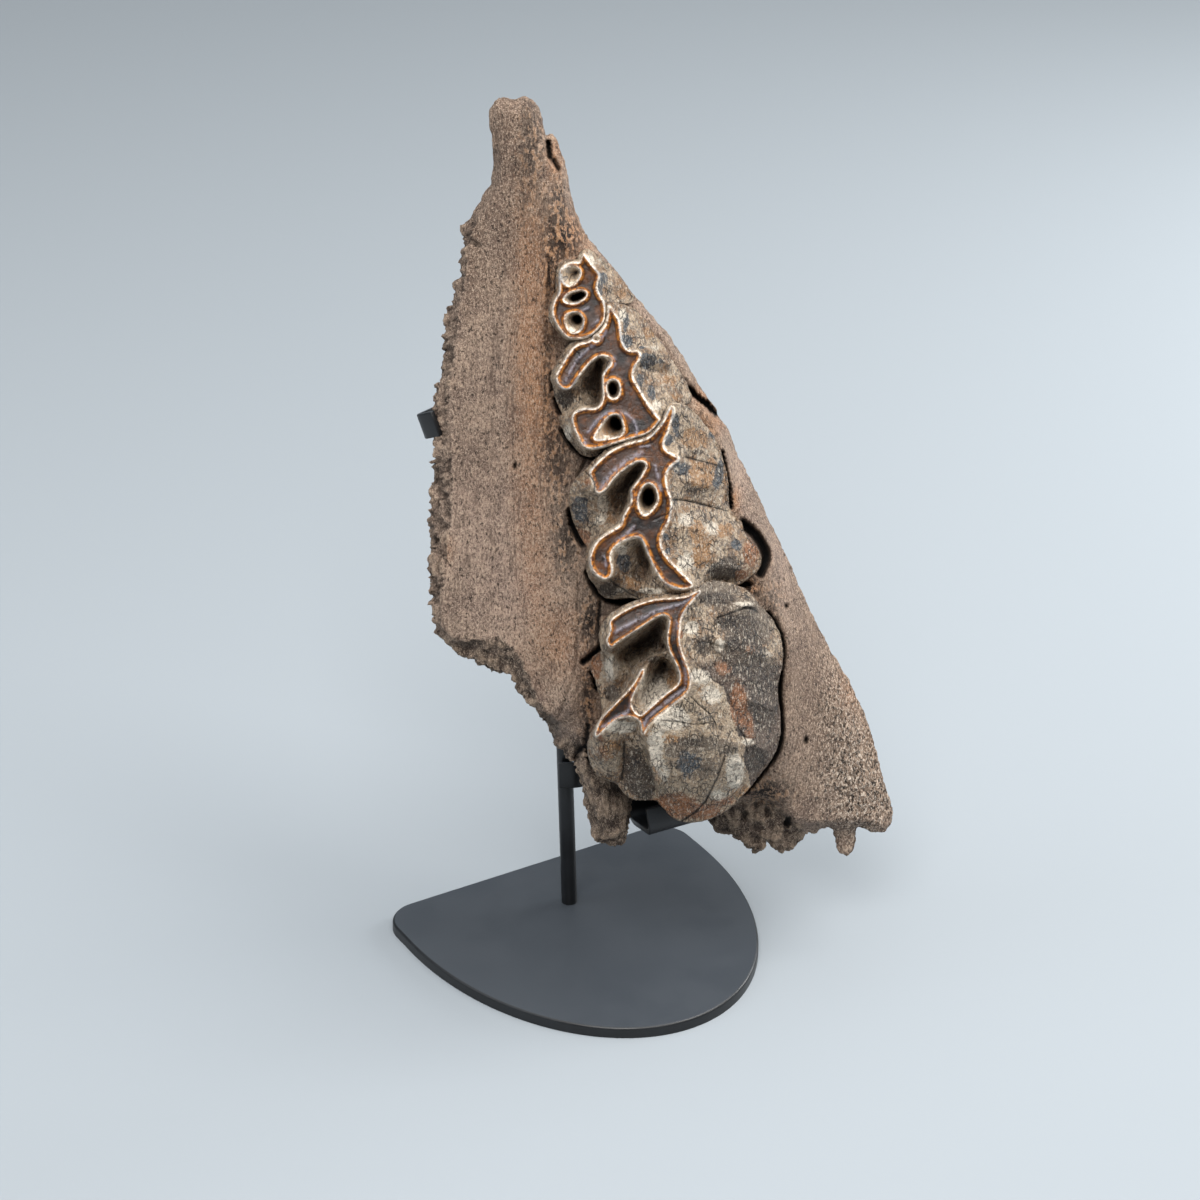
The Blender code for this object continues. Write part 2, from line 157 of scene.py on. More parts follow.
def line_distance(x, y, line, closed=False):
    """Distance in pixels from every point to a line."""
    best = np.full(x.shape, 1e9)
    for (ax, ay), (bx, by) in zip(*segments(line, closed)):
        ex, ey = bx - ax, by - ay
        share = np.clip(((x - ax) * ex + (y - ay) * ey) / max(ex * ex + ey * ey, 1e-9), 0, 1)
        best = np.minimum(best, (x - ax - share * ex) ** 2 + (y - ay - share * ey) ** 2)
    return np.sqrt(best)


def is_inside(x, y, outline):
    result = np.zeros(x.shape, bool)
    for (ax, ay), (bx, by) in zip(*segments(outline, True)):
        if ay != by:
            crosses = (ay > y) != (by > y)
            result ^= crosses & (x < (bx - ax) * (y - ay) / (by - ay) + ax)
    return result


def twice_area(outline):
    """Twice the area of an outline. Its sign tells which way round the outline runs."""
    x, y = outline[:, 0], outline[:, 1]
    return np.sum(x * np.roll(y, -1) - np.roll(x, -1) * y)


def spread_along(line, spacing, closed=False):
    """Points along a line at an even spacing, with every further value of its points kept."""
    points = np.array(line, float)
    if closed:
        points = np.vstack([points, points[:1]])
    steps = np.hypot(*(points[1:, :2] - points[:-1, :2]).T)
    length = np.concatenate([[0], np.cumsum(steps)])
    count = max(int(round(length[-1] / spacing)), 2)
    at = np.linspace(0, length[-1], count + 1)[:-1 if closed else None]
    return np.stack([np.interp(at, length, points[:, i]) for i in range(points.shape[1])], 1)


def smooth_line(line, closed=False, rounds=2):
    """Corners cut again and again, so that a hand-set line becomes a soft curve."""
    points = np.array(line, float)
    for _ in range(rounds):
        after = np.roll(points, -1, axis=0) if closed else points[1:]
        before = points if closed else points[:-1]
        cut = np.stack([before * 0.75 + after * 0.25, before * 0.25 + after * 0.75], 1)
        cut = cut.reshape(-1, points.shape[1])
        points = cut if closed else np.vstack([points[:1], cut, points[-1:]])
    return points


def step(low, high, value):
    """0 at low, 1 at high, and a soft slope between them; low may be the larger of the two."""
    t = np.clip((value - low) / (high - low), 0, 1)
    return t * t * (3 - 2 * t)


print("a square's middle is inside it:", is_inside(np.array([1.0]), np.array([1.0]),
                                                    [(0, 0), (2, 0), (2, 2), (0, 2)])[0])

# %% [markdown]
# ## A skin stretched over guide lines
#
# A worn tooth or a broken bone has no simple profile. A sculptor would set a few lines at the
# right heights and fill between them, and so does this step. Each guide line has a height at
# every point. The cells it crosses keep those heights, and all others take the mean of their
# neighbours over and over, as a rubber skin would. Starting on a coarse grid makes it quick.

# %% Skin over guides
def fill_between(known, value, rounds=40):
    rows, columns = known.shape
    if min(rows, columns) > 6:
        tall, wide = rows + rows % 2, columns + columns % 2
        weight = np.zeros((tall, wide))
        weight[:rows, :columns] = known
        total = np.zeros((tall, wide))
        total[:rows, :columns] = np.where(known, value, 0)
        weight = weight.reshape(tall // 2, 2, wide // 2, 2).sum((1, 3))
        total = total.reshape(tall // 2, 2, wide // 2, 2).sum((1, 3))
        coarse = fill_between(weight > 0, total / np.maximum(weight, 1), rounds)
        surface = np.kron(coarse, np.ones((2, 2)))[:rows, :columns]
    else:
        surface = np.full(known.shape, value[known].mean() if known.any() else 0.0)
    surface = np.where(known, value, surface)
    for _ in range(rounds):
        wide = np.pad(surface, 1, mode="edge")
        mean = (wide[:-2, 1:-1] + wide[2:, 1:-1] + wide[1:-1, :-2] + wide[1:-1, 2:]) / 4
        surface = np.where(known, value, mean)
    return surface


def soften(surface, rounds):
    for _ in range(rounds):
        wide = np.pad(surface, 1, mode="edge")
        side = wide[:-2, 1:-1] + wide[2:, 1:-1] + wide[1:-1, :-2] + wide[1:-1, 2:]
        surface = surface * 0.5 + side * 0.125
    return surface


class Skin:
    """A height for every pixel of a region, stretched over guide lines of (x, y, height)."""

    def __init__(self, lines, cell, soft=1, margin=4):
        marks = np.vstack([np.array(line, float)[:, :3] for line in lines])
        self.cell = cell
        self.low = marks[:, :2].min(0) - margin
        shape = np.ceil((marks[:, :2].max(0) + margin - self.low) / cell).astype(int) + 1
        total, count = np.zeros(shape[::-1]), np.zeros(shape[::-1])
        for line in lines:
            points = spread_along(line, cell * 0.5) if len(line) > 1 else np.array(line, float)
            column, row = np.round((points[:, :2] - self.low) / cell).astype(int).T
            np.add.at(total, (row, column), points[:, 2])
            np.add.at(count, (row, column), 1)
        known = count > 0
        self.height = soften(fill_between(known, total / np.maximum(count, 1)), soft)

    def at(self, x, y):
        column = np.clip((x - self.low[0]) / self.cell, 0, self.height.shape[1] - 1.001)
        row = np.clip((y - self.low[1]) / self.cell, 0, self.height.shape[0] - 1.001)
        c, r = column.astype(int), row.astype(int)
        a, b = column - c, row - r
        top = self.height[r, c] * (1 - a) + self.height[r, c + 1] * a
        return top * (1 - b) + (self.height[r + 1, c] * (1 - a) + self.height[r + 1, c + 1] * a) * b


print("skin tools ready")

# %% [markdown]
# ## From an outline to a closed piece
#
# The outline and a net of points inside it are joined to triangles: this gives the side that
# faces the viewer. A second net closes the far side, and rows of points between the two edges
# make the walls. The walls follow the lines of sight, so they hide behind the outline, and both
# sides meet in one closed body.

# %% Closed relief
NET_ROW_STEP = 0.866
NET_EDGE_GAP = 0.6


def on_first_side(a, b, c):
    """Whether c lies on the first of the two sides of the way from a to b."""
    ahead, aside = b - a, c - a
    return ahead[..., 0] * aside[..., 1] > ahead[..., 1] * aside[..., 0]


def without_loops(line):
    """The same closed line with every small loop cut out where it crosses itself."""
    while True:
        a, b = line[:, None, :2], np.roll(line, -1, 0)[:, None, :2]
        c, d = line[None, :, :2], np.roll(line, -1, 0)[None, :, :2]
        apart = on_first_side(a, b, c) != on_first_side(a, b, d)
        crossed = apart & (on_first_side(c, d, a) != on_first_side(c, d, b))
        near, far = np.nonzero(np.triu(crossed, 2))
        gaps = far - near
        keep = (gaps > 1) & (gaps < len(line) // 2)
        if not keep.any():
            return line
        i, j = near[keep][0], far[keep][0]
        line = np.delete(line, np.arange(i + 1, j + 1), 0)


def net_in(outline, spacing):
    """Triangles of an outline filled with an even net. The outline's points come first."""
    edge = np.asarray(outline)[:, :2]
    low, high = edge.min(0), edge.max(0)
    rows = np.arange(low[1], high[1], spacing * NET_ROW_STEP)
    columns = np.arange(low[0], high[0], spacing)
    x, y = np.meshgrid(columns, rows)
    x = x + (np.arange(len(rows)) % 2)[:, None] * spacing / 2
    x, y = x.ravel(), y.ravel()
    keep = is_inside(x, y, edge)
    x, y = x[keep], y[keep]
    keep = line_distance(x, y, edge, True) > spacing * NET_EDGE_GAP
    inner = np.stack([x[keep], y[keep]], 1)
    points = np.vstack([edge, inner])
    corners = [Vector((float(px), float(py))) for px, py in points]
    ring = [(i, (i + 1) % len(edge)) for i in range(len(edge))]
    found = delaunay_2d_cdt(corners, ring, [], 0, 1e-5, True)
    name = [origin[0] if origin else -1 for origin in found[3]]
    triangles = np.array([[name[i] for i in face] for face in found[2]], int)
    triangles = triangles[(triangles >= 0).all(1)]
    # Triangles with all corners on the edge may fill a bay outside it: those run against the edge
    first, second, third = triangles.T
    forward = (first < second) ^ (second < third) ^ (first < third)
    has_inner_corner = (triangles >= len(edge)).any(1)
    triangles = triangles[has_inner_corner | (forward == (twice_area(edge) > 0))]
    return points, triangles[:, ::-1]


def make_mesh(name, places_mm, faces, masks):
    mesh = bpy.data.meshes.new(name)
    mesh.from_pydata((places_mm * MM).tolist(), [], [list(map(int, face)) for face in faces])
    for mask, values in masks.items():
        layer = mesh.attributes.new(mask, "FLOAT", "POINT")
        layer.data.foreach_set("value", np.asarray(values, np.float32))
    mesh.shade_smooth()
    piece = bpy.data.objects.new(name, mesh)
    bpy.context.scene.collection.objects.link(piece)
    return piece


def closed_relief(outline, spacing, front, back, back_spacing, wall_spacing):
    """Pixels, heights and faces of a closed body between two skins; front and back give heights.

    Returns (x, y, w, faces, part), where part is 0 on the front, 1 on the walls, 2 on the back.
    """
    edge = without_loops(spread_along(outline, spacing, True))
    front_points, front_faces = net_in(edge, spacing)
    back_points, back_faces = net_in(edge, back_spacing)
    front_w = front(front_points[:, 0], front_points[:, 1])
    back_w = back(back_points[:, 0], back_points[:, 1])
    count = len(edge)
    deepest = float((front_w[:count] - back_w[:count]).max())
    rows = max(int(deepest / wall_spacing), 1)
    x, y, w = [front_points[:, 0]], [front_points[:, 1]], [front_w]
    faces, rings = [front_faces], [np.arange(count)]
    start = len(front_points)
    for row in range(1, rows):
        share = row / rows
        x.append(edge[:, 0])
        y.append(edge[:, 1])
        w.append(front_w[:count] * (1 - share) + back_w[:count] * share)
        rings.append(np.arange(start, start + count))
        start += count
    x.append(back_points[:, 0])
    y.append(back_points[:, 1])
    w.append(back_w)
    rings.append(np.arange(start, start + count))
    faces.append(back_faces[:, ::-1] + start)
    runs_forward = twice_area(edge) > 0
    for near, far in zip(rings, rings[1:]):
        a, b = near, np.roll(near, -1)
        c, d = np.roll(far, -1), far
        wall = np.vstack([np.stack([a, b, c], 1), np.stack([a, c, d], 1)])
        faces.append(wall if runs_forward else wall[:, ::-1])
    part = np.concatenate([np.zeros(len(front_points)), np.ones(count * (rows - 1)),
                           np.full(len(back_points), 2.0)])
    return np.concatenate(x), np.concatenate(y), np.concatenate(w), np.vstack(faces), part


def normals_of(places, faces):
    a, b, c = (places[faces[:, i]] for i in range(3))
    flat = np.cross(b - a, c - a)
    result = np.zeros_like(places)
    for i in range(3):
        np.add.at(result, faces[:, i], flat)
    return result / np.maximum(np.linalg.norm(result, axis=1), 1e-9)[:, None]


def rough(places, size, stretch=(1.0, 1.0, 1.0), octaves=3, shift=0.0):
    """Cloudy noise between about -1 and 1 at places in millimetres; size is its grain."""
    axes = np.stack([JAW_RIGHT * stretch[0], JAW_UP * stretch[1], JAW_OUT * stretch[2]], 1)
    scaled = (places @ axes) / size + shift
    values = [noise.fractal(point, 0.6, 2.1, octaves, noise_basis="PERLIN_ORIGINAL")
              for point in scaled.tolist()]
    return np.array(values)


print("relief tools ready")

# %% [markdown]
# ## The teeth
#
# Each cheek tooth is a tall column of enamel folded round softer dentine. Chewing cut it flat:
# the folds now stand as thin white ridges, with an amber line inside and dark dentine sunk
# between them. Pits and valleys of the old crown stay open. So a tooth is set down as its
# outline, the edge of its worn facet, its pits, and a few lines on its outer wall. Heights are
# shares of the chewing height: 1 is on the chewing surface, 0 at the bone.

# %% Chewing height
CHEWING_HEIGHT_MM = [(245, 10.0), (300, 11.5), (340, 13.5), (400, 16.5), (445, 18.5), (500, 21.0),
    (590, 24.0), (640, 27.5), (700, 28.5), (830, 28.0)]
TOOTH_ROOT_W = -9.0


def chewing_height(y):
    rows, heights = zip(*CHEWING_HEIGHT_MM)
    return np.interp(y, rows, heights)


print("chewing height at the molar:", float(chewing_height(700)), "mm")

# %% [markdown]
# ### Front premolar
#
# The smallest tooth is worn down to three enamel rings round old pits. The first ring is open
# and shallow, the other two are deep.

# %% Front premolar
FRONT_PREMOLAR = {
    "outline": [(583, 251, .95), (590, 251, .6), (598, 257, .25), (607, 266, 0), (617, 277, -.1),
      (627, 290, -.1), (633, 299, -.1), (628, 303, .1), (618, 302, .35), (608, 301, .8), (607, 306, .95),
      (607, 313, .93), (606, 321, .93), (600, 330, .93), (591, 338, .93), (582, 340.5, .8), (572, 341, .7),
      (564, 337, .65), (557, 329, .65), (552, 322, .65), (549.5, 314, .65), (551, 304, .65), (554, 297, .7),
      (557, 293, .72), (557, 286, .72), (557, 276, .72), (558, 269, .7), (563, 262.5, .72),
      (571, 260.5, .78), (578, 261, .82), (580, 256, .82)],
    "facet": [(584, 253), (587, 258), (592, 265), (598, 272), (600, 277), (597, 284), (597, 290), (600, 296),
      (604, 302), (605.5, 311), (605, 320), (599, 328.5), (590, 336.5), (580, 339), (570, 339), (563, 334),
      (558, 327), (554, 320), (552, 312), (553, 304), (556, 298), (560, 292), (559.5, 284), (559, 275),
      (561, 268), (567, 263.5), (574, 262), (580, 263), (581, 257)],
    "band": 2.3,
    "pits": [
      {"edge": [(565, 268), (572, 266), (579, 268.5), (581, 273), (578, 280), (573, 285), (568, 286),
        (563, 283), (561.5, 276), (562, 271)],
       "floor": [(572, 277, .74), (577, 272, .5)]},
      {"edge": [(563, 300), (566, 295.5), (571, 292.5), (577, 291), (584, 291), (587, 293.5), (585, 298),
        (580, 301.5), (574, 303.5), (567, 303)],
       "floor": [(573, 299, -.1), (583, 294, -.1)]},
      {"edge": [(566, 315), (571, 313), (577, 312), (582, 316), (583.5, 321), (582, 328), (578, 332),
        (572, 333), (568, 329), (565, 322)],
       "floor": [(577, 317, -.2), (580, 321, -.2)]}],
    "guides": [[(590, 258, .85), (600, 267, .5)], [(602, 280, .8), (612, 283, .4), (622, 288, .1)],
      [(600, 290, .9), (608, 294, .6), (620, 297, .25)]],
    "lilac": [([(588, 308), (582, 310)], 1.4), ([(592, 325), (598, 320)], 1.3)],
    "blue": [(604, 277, 5, 6, .9), (600, 288, 4, 9, .8), (612, 285, 8, 8, .35)],
    "pale": [(590, 262, 4, 9, .7), (598, 262, 7, 8, .4), (571, 282, 8, 4, .4), (572, 329, 6, 4, .6)],
    "tan": [(608, 270, 8, 8, .4), (620, 295, 8, 7, .6)],
    "dark": [(615, 289, 7, 4, .3)],
    "rust": [(586, 283, 4, 3, .4)],
    "cracks": [([(591, 338.5), (600, 330), (606, 322), (607, 312), (607, 306)], 1.1, 1.2)],
}
print("front premolar:", len(FRONT_PREMOLAR["facet"]), "facet points")

# %% [markdown]
# ### Middle premolar
#
# One loph is already joined to the next. A long open valley runs in from the left, a round pit
# and a second, slanted pit lie behind it, and a tiny ring sits at the front corner.

# %% Middle premolar
MIDDLE_PREMOLAR = {
    "outline": [(608, 303, .95), (615, 303, .75), (624, 306, .5), (636, 312, .2), (646, 323, 0),
      (656, 338, -.1), (666, 353, -.15), (676, 368, -.15), (684, 382, -.15), (690, 394, -.15),
      (690, 401, -.1), (683, 404, .15), (677, 404.5, .35), (669, 404.5, .6), (665, 409, .85),
      (663, 418, .95), (658, 425, .93), (652, 433, .92), (645, 437, .92), (636, 439, .92), (622, 443, .9),
      (610, 447, .88), (600, 450, .8), (597, 454, .6), (590, 456, .5), (582, 453, .5), (575, 446, .5),
      (568, 436, .5), (563, 426, .5), (560, 418, .55), (565, 415, .5), (560, 406, .3), (556, 397, .3),
      (555, 388, .35), (552, 380, .6), (552, 374, .7), (557, 366, .75), (563, 356, .75), (568, 347, .75),
      (574, 342, .8), (585, 340.5, .9), (591, 339, .93), (600, 331, .95), (606, 323, .95),
      (607.5, 312, .95)],
    "facet": [(608, 305), (612, 309), (617, 316), (620, 323), (621, 334), (622, 342), (626, 349), (631, 351),
      (637, 350.5), (641, 354), (640, 360), (635, 366), (633, 372), (633, 379), (638, 387), (643, 395),
      (648, 404), (653, 411), (658, 417), (661, 420), (655, 427.5), (650, 432.5), (640, 436.5), (628, 439.5),
      (615, 443.5), (606, 446.5), (596, 449), (588, 449), (583, 447), (579, 440), (575, 431), (572, 423),
      (572, 417), (574, 412.5), (579, 410), (586, 408), (594, 409), (600, 406), (603, 399), (603, 390),
      (602, 380), (603, 374), (607, 368), (611, 365), (611, 360), (607, 356.5), (601, 356), (596, 358),
      (590, 363), (584, 370), (578, 378), (574, 385), (570, 389), (564, 390), (559, 386), (556, 380),
      (556, 375), (561, 366), (567, 356), (572, 348.5), (578, 344), (588, 342), (592, 339.5), (600, 332),
      (606, 324), (608, 313)],
    "band": 2.6,
    "pits": [
      {"edge": [(608, 382), (613, 379.5), (618, 381.5), (620, 388), (619, 396), (614, 399),
      (609, 397), (607, 389)], "floor": [(612, 385, -.2), (613, 393, -.2)]},
      {"edge": [(606, 420), (611, 415.5), (617, 414.5), (621, 418), (623, 425), (624, 432), (620, 436),
        (612, 438), (604, 439), (597, 440), (594, 438), (598, 431), (602, 425)],
       "floor": [(614, 419, -.1), (619, 427, -.1)]},
      {"edge": [(593, 336), (596.5, 334.5), (599.5, 337), (598.5, 341), (595, 341.5), (592.5, 339.5)],
       "floor": [(596, 338, .8)]}],
    "guides": [[(600, 359, .25), (598, 370, 0), (597, 390, -.1), (596, 404, 0)],
      [(583, 378, .5), (584, 392, .45), (588, 403, .4)],
      [(574, 389, .66), (574, 400, .6), (574, 411, .66)], [(564, 394, .45), (568, 408, .35)],
      [(622, 312, .8), (640, 322, .35), (652, 338, .1)],
      [(630, 330, .8), (645, 340, .45), (660, 352, .1)],
      [(644, 347, .85), (658, 355, .5), (672, 367, .1)],
      [(640, 366, .72), (652, 370, .4), (668, 374, .1)],
      [(644, 384, .82), (660, 386, .6), (678, 388, .25)],
      [(655, 403, .85), (668, 398, .6), (684, 396, .15)],
      [(566, 424, .72), (573, 438, .72), (584, 451, .6)]],
    "lilac": [([(606, 331), (601, 340), (590, 347), (578, 358), (572, 367), (566, 381)], 1.7),
      ([(588, 432), (594, 424), (601, 416.5), (607, 412.5), (613, 411)], 1.5),
      ([(622, 412), (628, 415), (634, 421), (637, 428), (636, 435)], 1.6),
      ([(613, 357), (617, 362), (612, 370)], 1.3), ([(585, 440), (586, 447)], 1.5)],
    "blue": [(626, 322, 5, 14, .6), (627, 342, 5, 7, .8), (646, 360, 9, 8, .9), (660, 362, 10, 5, .5),
      (640, 380, 6, 8, .7), (652, 394, 5, 10, .8), (643, 347, 6, 3, .6), (636, 318, 6, 5, .4)],
    "pale": [(622, 315, 5, 8, .8), (655, 348, 12, 5, .5), (664, 384, 12, 5, .4), (657, 405, 6, 7, .8),
      (606, 436, 6, 3, .5), (568, 433, 5, 12, .7), (645, 408, 5, 8, .6), (634, 356, 4, 4, .5)],
    "tan": [(650, 335, 12, 9, .6), (672, 380, 12, 8, .7), (585, 385, 8, 12, .5), (675, 397, 10, 5, .5)],
    "dark": [(650, 329, 8, 5, .4), (663, 366, 9, 4, .4), (565, 398, 9, 12, 1), (590, 385, 14, 20, .5),
      (678, 350, 5, 12, .2)],
    "rust": [(633, 397, 3, 4, .8), (640, 431, 12, 5, .8), (627, 400, 6, 10, .5), (585, 425, 8, 12, .35)],
    "cracks": [([(663, 419), (657, 427), (651, 433.5), (640, 438), (622, 443.5), (600, 450.5)], 1.1, 1.4),
      ([(574, 349), (580, 356)], .6, .4), ([(575, 361), (578, 365)], .6, .4)],
}
print("middle premolar:", len(MIDDLE_PREMOLAR["facet"]), "facet points")

# %% [markdown]
# ### Rear premolar
#
# The best worn pattern of the row: a curved front loph with its cusp chipped off, a deep black
# valley, a ring pit, and a rear pit with a smooth blue-white slope. Its outer wall has three
# swellings, with creases between them.

# %% Rear premolar
REAR_PREMOLAR = {
    "outline": [(676, 404, .95), (684, 406, .75), (692, 412, .5), (700, 421, .25), (708, 431, .1),
      (715, 441, -.05), (720, 452, -.1), (722, 462, -.1), (725, 475, -.1), (727, 487, -.12),
      (726, 500, -.12), (728, 511, -.12), (735, 518, -.12), (741, 524, -.12), (742, 532, -.1),
      (747, 540, -.08), (754, 546, -.1), (759, 555, -.1), (760, 562, -.1), (757, 570, -.05), (748, 577, 0),
      (739, 584, .05), (728, 583, .1), (720, 580, .2), (712, 580, .35), (704, 583, .6), (699, 587, .9),
      (694, 590, .92), (683, 593, .9), (668, 594, .85), (655, 597, .8), (640, 598, .7), (632, 596, .6),
      (622, 597, .35), (612, 598, .25), (604, 596, .2), (599, 590, .2), (596, 583, .45), (591, 579, .55),
      (588.5, 572, .6), (587, 562, .62), (587.5, 552, .62), (589, 546, .6), (586, 543, .4), (583, 538, .2),
      (578, 528, .2), (574, 517, .35), (571, 506, .45), (570, 496, .5), (572, 487, .6), (577, 480, .7),
      (583, 473.5, .75), (588, 470, .8), (593, 463.5, .85), (600, 456, .85), (608, 449.5, .88),
      (620, 444.5, .92), (632, 440.5, .93), (645, 437.5, .94), (653, 432.5, .94), (659, 425.5, .94),
      (663.5, 419, .95), (667, 409, .95), (671, 404, .95)],
    "facet": [(673, 407), (674, 413), (671, 423), (668, 433), (664, 441), (663.5, 447), (668, 452),
      (674, 455), (680, 458), (677, 462), (671, 466), (667, 472), (666, 479), (667, 486), (669, 493),
      (672, 501), (671, 513), (669, 522), (664, 530), (661, 537), (661, 546), (664, 553), (670, 561),
      (678, 569), (686, 577), (694, 585), (690, 589), (680, 590), (668, 586), (662, 581), (658, 575),
      (654, 568), (650, 560), (646, 550), (643, 542), (639, 537.5), (632, 538), (624, 541), (617, 545.5),
      (612, 551), (610.5, 557), (611.5, 563), (613, 571), (611, 577), (606, 580), (600, 578), (594, 573),
      (590, 566), (589.5, 558), (592, 549), (597, 541), (603, 535.5), (613, 530), (621, 525), (623, 517),
      (627, 509), (631.5, 501), (631, 495), (629.5, 491), (635, 484), (640, 478), (644, 471), (646.5, 465.5),
      (644, 462), (638, 461.5), (632, 464.5), (624, 470), (616, 476.5), (611, 483), (606, 490), (600, 494),
      (595, 492), (594, 485), (591, 478), (589, 472), (594, 466), (600, 459.5), (609, 452), (618, 447),
      (630, 442.5), (643, 440), (651, 436), (657, 429.5), (663, 422), (667, 413), (670, 407)],
    "band": 2.7,
    "pits": [
      {"edge": [(641.5, 490), (645, 485), (650, 483.5), (654, 486.5), (657, 493), (658, 500), (655, 506),
        (650, 512), (645, 515.5), (641.5, 513), (638.5, 506), (638.5, 497)],
       "floor": [(648, 492, -.2), (649, 502, -.2)]}],
    "guides": [[(641, 465, .4), (634, 478, .05), (624, 495, -.05), (619, 512, .1)],
      [(612, 490, .5), (606, 505, .5), (606, 520, .42)], [(590, 500, .62), (585, 515, .5),
      (592, 528, .4)],
      [(580, 484, .93), (588, 480, .97), (590, 489, .93), (580, 489, .9)],
      [(577, 497, .7), (584, 497, .72), (594, 497, .78)],
      [(578, 535, .15), (588, 536, .3), (598, 533, .5)],
      [(640, 543, .62), (643, 555, .4), (648, 566, .35)], [(620, 553, .8), (622, 565, .75)],
      [(634, 572, .5), (645, 575, .45)], [(627, 588, .75), (642, 591, .8), (660, 588, .82)],
      [(604, 586, .5), (616, 592, .4)],
      [(682, 414, .82), (692, 425, .6), (704, 440, .3)],
      [(674, 440, .85), (688, 446, .65), (708, 456, .3)],
      [(686, 458, .66), (700, 461, .44), (713, 464, .22), (721, 467, .02)],
      [(676, 478, .9), (692, 482, .72), (712, 486, .4)],
      [(674, 500, .84), (684, 501.5, .66), (697, 504, .46), (712, 508, .2), (725, 511, 0)],
      [(676, 525, .93), (692, 528, .84), (712, 534, .62), (730, 542, .35)],
      [(672, 545, .93), (690, 552, .88), (708, 560, .72), (726, 566, .45), (742, 570, .2)],
      [(690, 575, .9), (704, 574, .75)], [(745, 545, .12), (752, 558, .1)]],
    "lilac": [([(641, 453), (632, 457), (621, 464), (612, 473), (606, 480), (602, 488)], 2.3),
      ([(655, 466), (658, 476), (661, 490)], 1.6), ([(634, 527), (626, 534), (617, 541)], 1.5),
      ([(640, 447), (650, 446)], 1.2), ([(604, 557), (606, 566)], 1.3)],
    "blue": [(668, 440, 5, 7, .9), (676, 425, 4, 14, .7), (680, 468, 12, 8, .8), (712, 436, 6, 12, .6),
      (580, 508, 9, 14, 1), (604, 505, 10, 9, .6), (596, 523, 6, 6, .3), (665, 536, 6, 6, .6),
      (668, 552, 5, 6, .6), (737, 545, 7, 6, .8), (730, 520, 8, 12, .35), (720, 470, 4, 20, .6),
      (624, 562, 8, 10, .9), (676, 500, 6, 10, .4), (716, 482, 4, 10, .6), (594, 570, 4, 7, .5)],
    "pale": [(672, 412, 4, 7, .8), (603, 503, 8, 14, .7), (685, 520, 12, 10, .6), (712, 528, 12, 10, .6),
      (685, 562, 12, 12, .7), (712, 566, 12, 8, .4), (622, 550, 7, 7, .8), (652, 591, 16, 4, .8),
      (620, 590, 10, 5, .5), (676, 470, 5, 4, .5), (700, 545, 20, 6, .3), (592, 560, 4, 14, .8),
      (600, 520, 8, 6, .6)],
    "tan": [(692, 438, 14, 14, .9), (705, 475, 18, 18, .9), (700, 540, 24, 22, .5), (610, 520, 8, 6, .6),
      (697, 530, 6, 16, .6), (700, 560, 8, 10, .6), (725, 530, 12, 10, .6), (632, 582, 8, 5, .5)],
    "dark": [(698, 452, 10, 5, .6), (692, 490, 14, 6, .6), (690, 545, 8, 5, .3), (724, 572, 18, 10, .9),
      (608, 590, 12, 8, .9), (634, 575, 10, 6, .5), (730, 560, 16, 12, .5)],
    "rust": [(751, 553, 9, 14, 1), (741, 575, 8, 7, .7), (582, 536, 10, 8, .9), (585, 545, 5, 6, .6),
      (588, 482, 6, 5, .6), (668, 513, 4, 8, .5), (640, 528, 8, 6, .5), (700, 508, 10, 3, .3),
      (652, 545, 4, 10, .5)],
    "cracks": [([(686, 457), (700, 461), (713, 464), (722, 467)], .9, .5),
      ([(672, 500), (684, 500), (697, 503), (712, 507), (727, 511)], .8, .5),
      ([(586, 472), (592, 478), (595, 485), (594, 492)], .9, .8),
      ([(654, 520), (662, 516), (668, 514), (672, 508)], .7, .4),
      ([(610, 580), (618, 586), (630, 593), (638, 597)], .9, .6),
      ([(658, 430), (650, 440)], .5, .2)],
}
print("rear premolar:", len(REAR_PREMOLAR["facet"]), "facet points")

# %% [markdown]
# ### Molar
#
# The molar had only begun to wear, so its enamel is cut in a narrow zigzag, and the high outer
# wall bulges over the bone. The pale enamel on that wall is flaked off along a ragged edge, and
# darker tissue shows beside it.

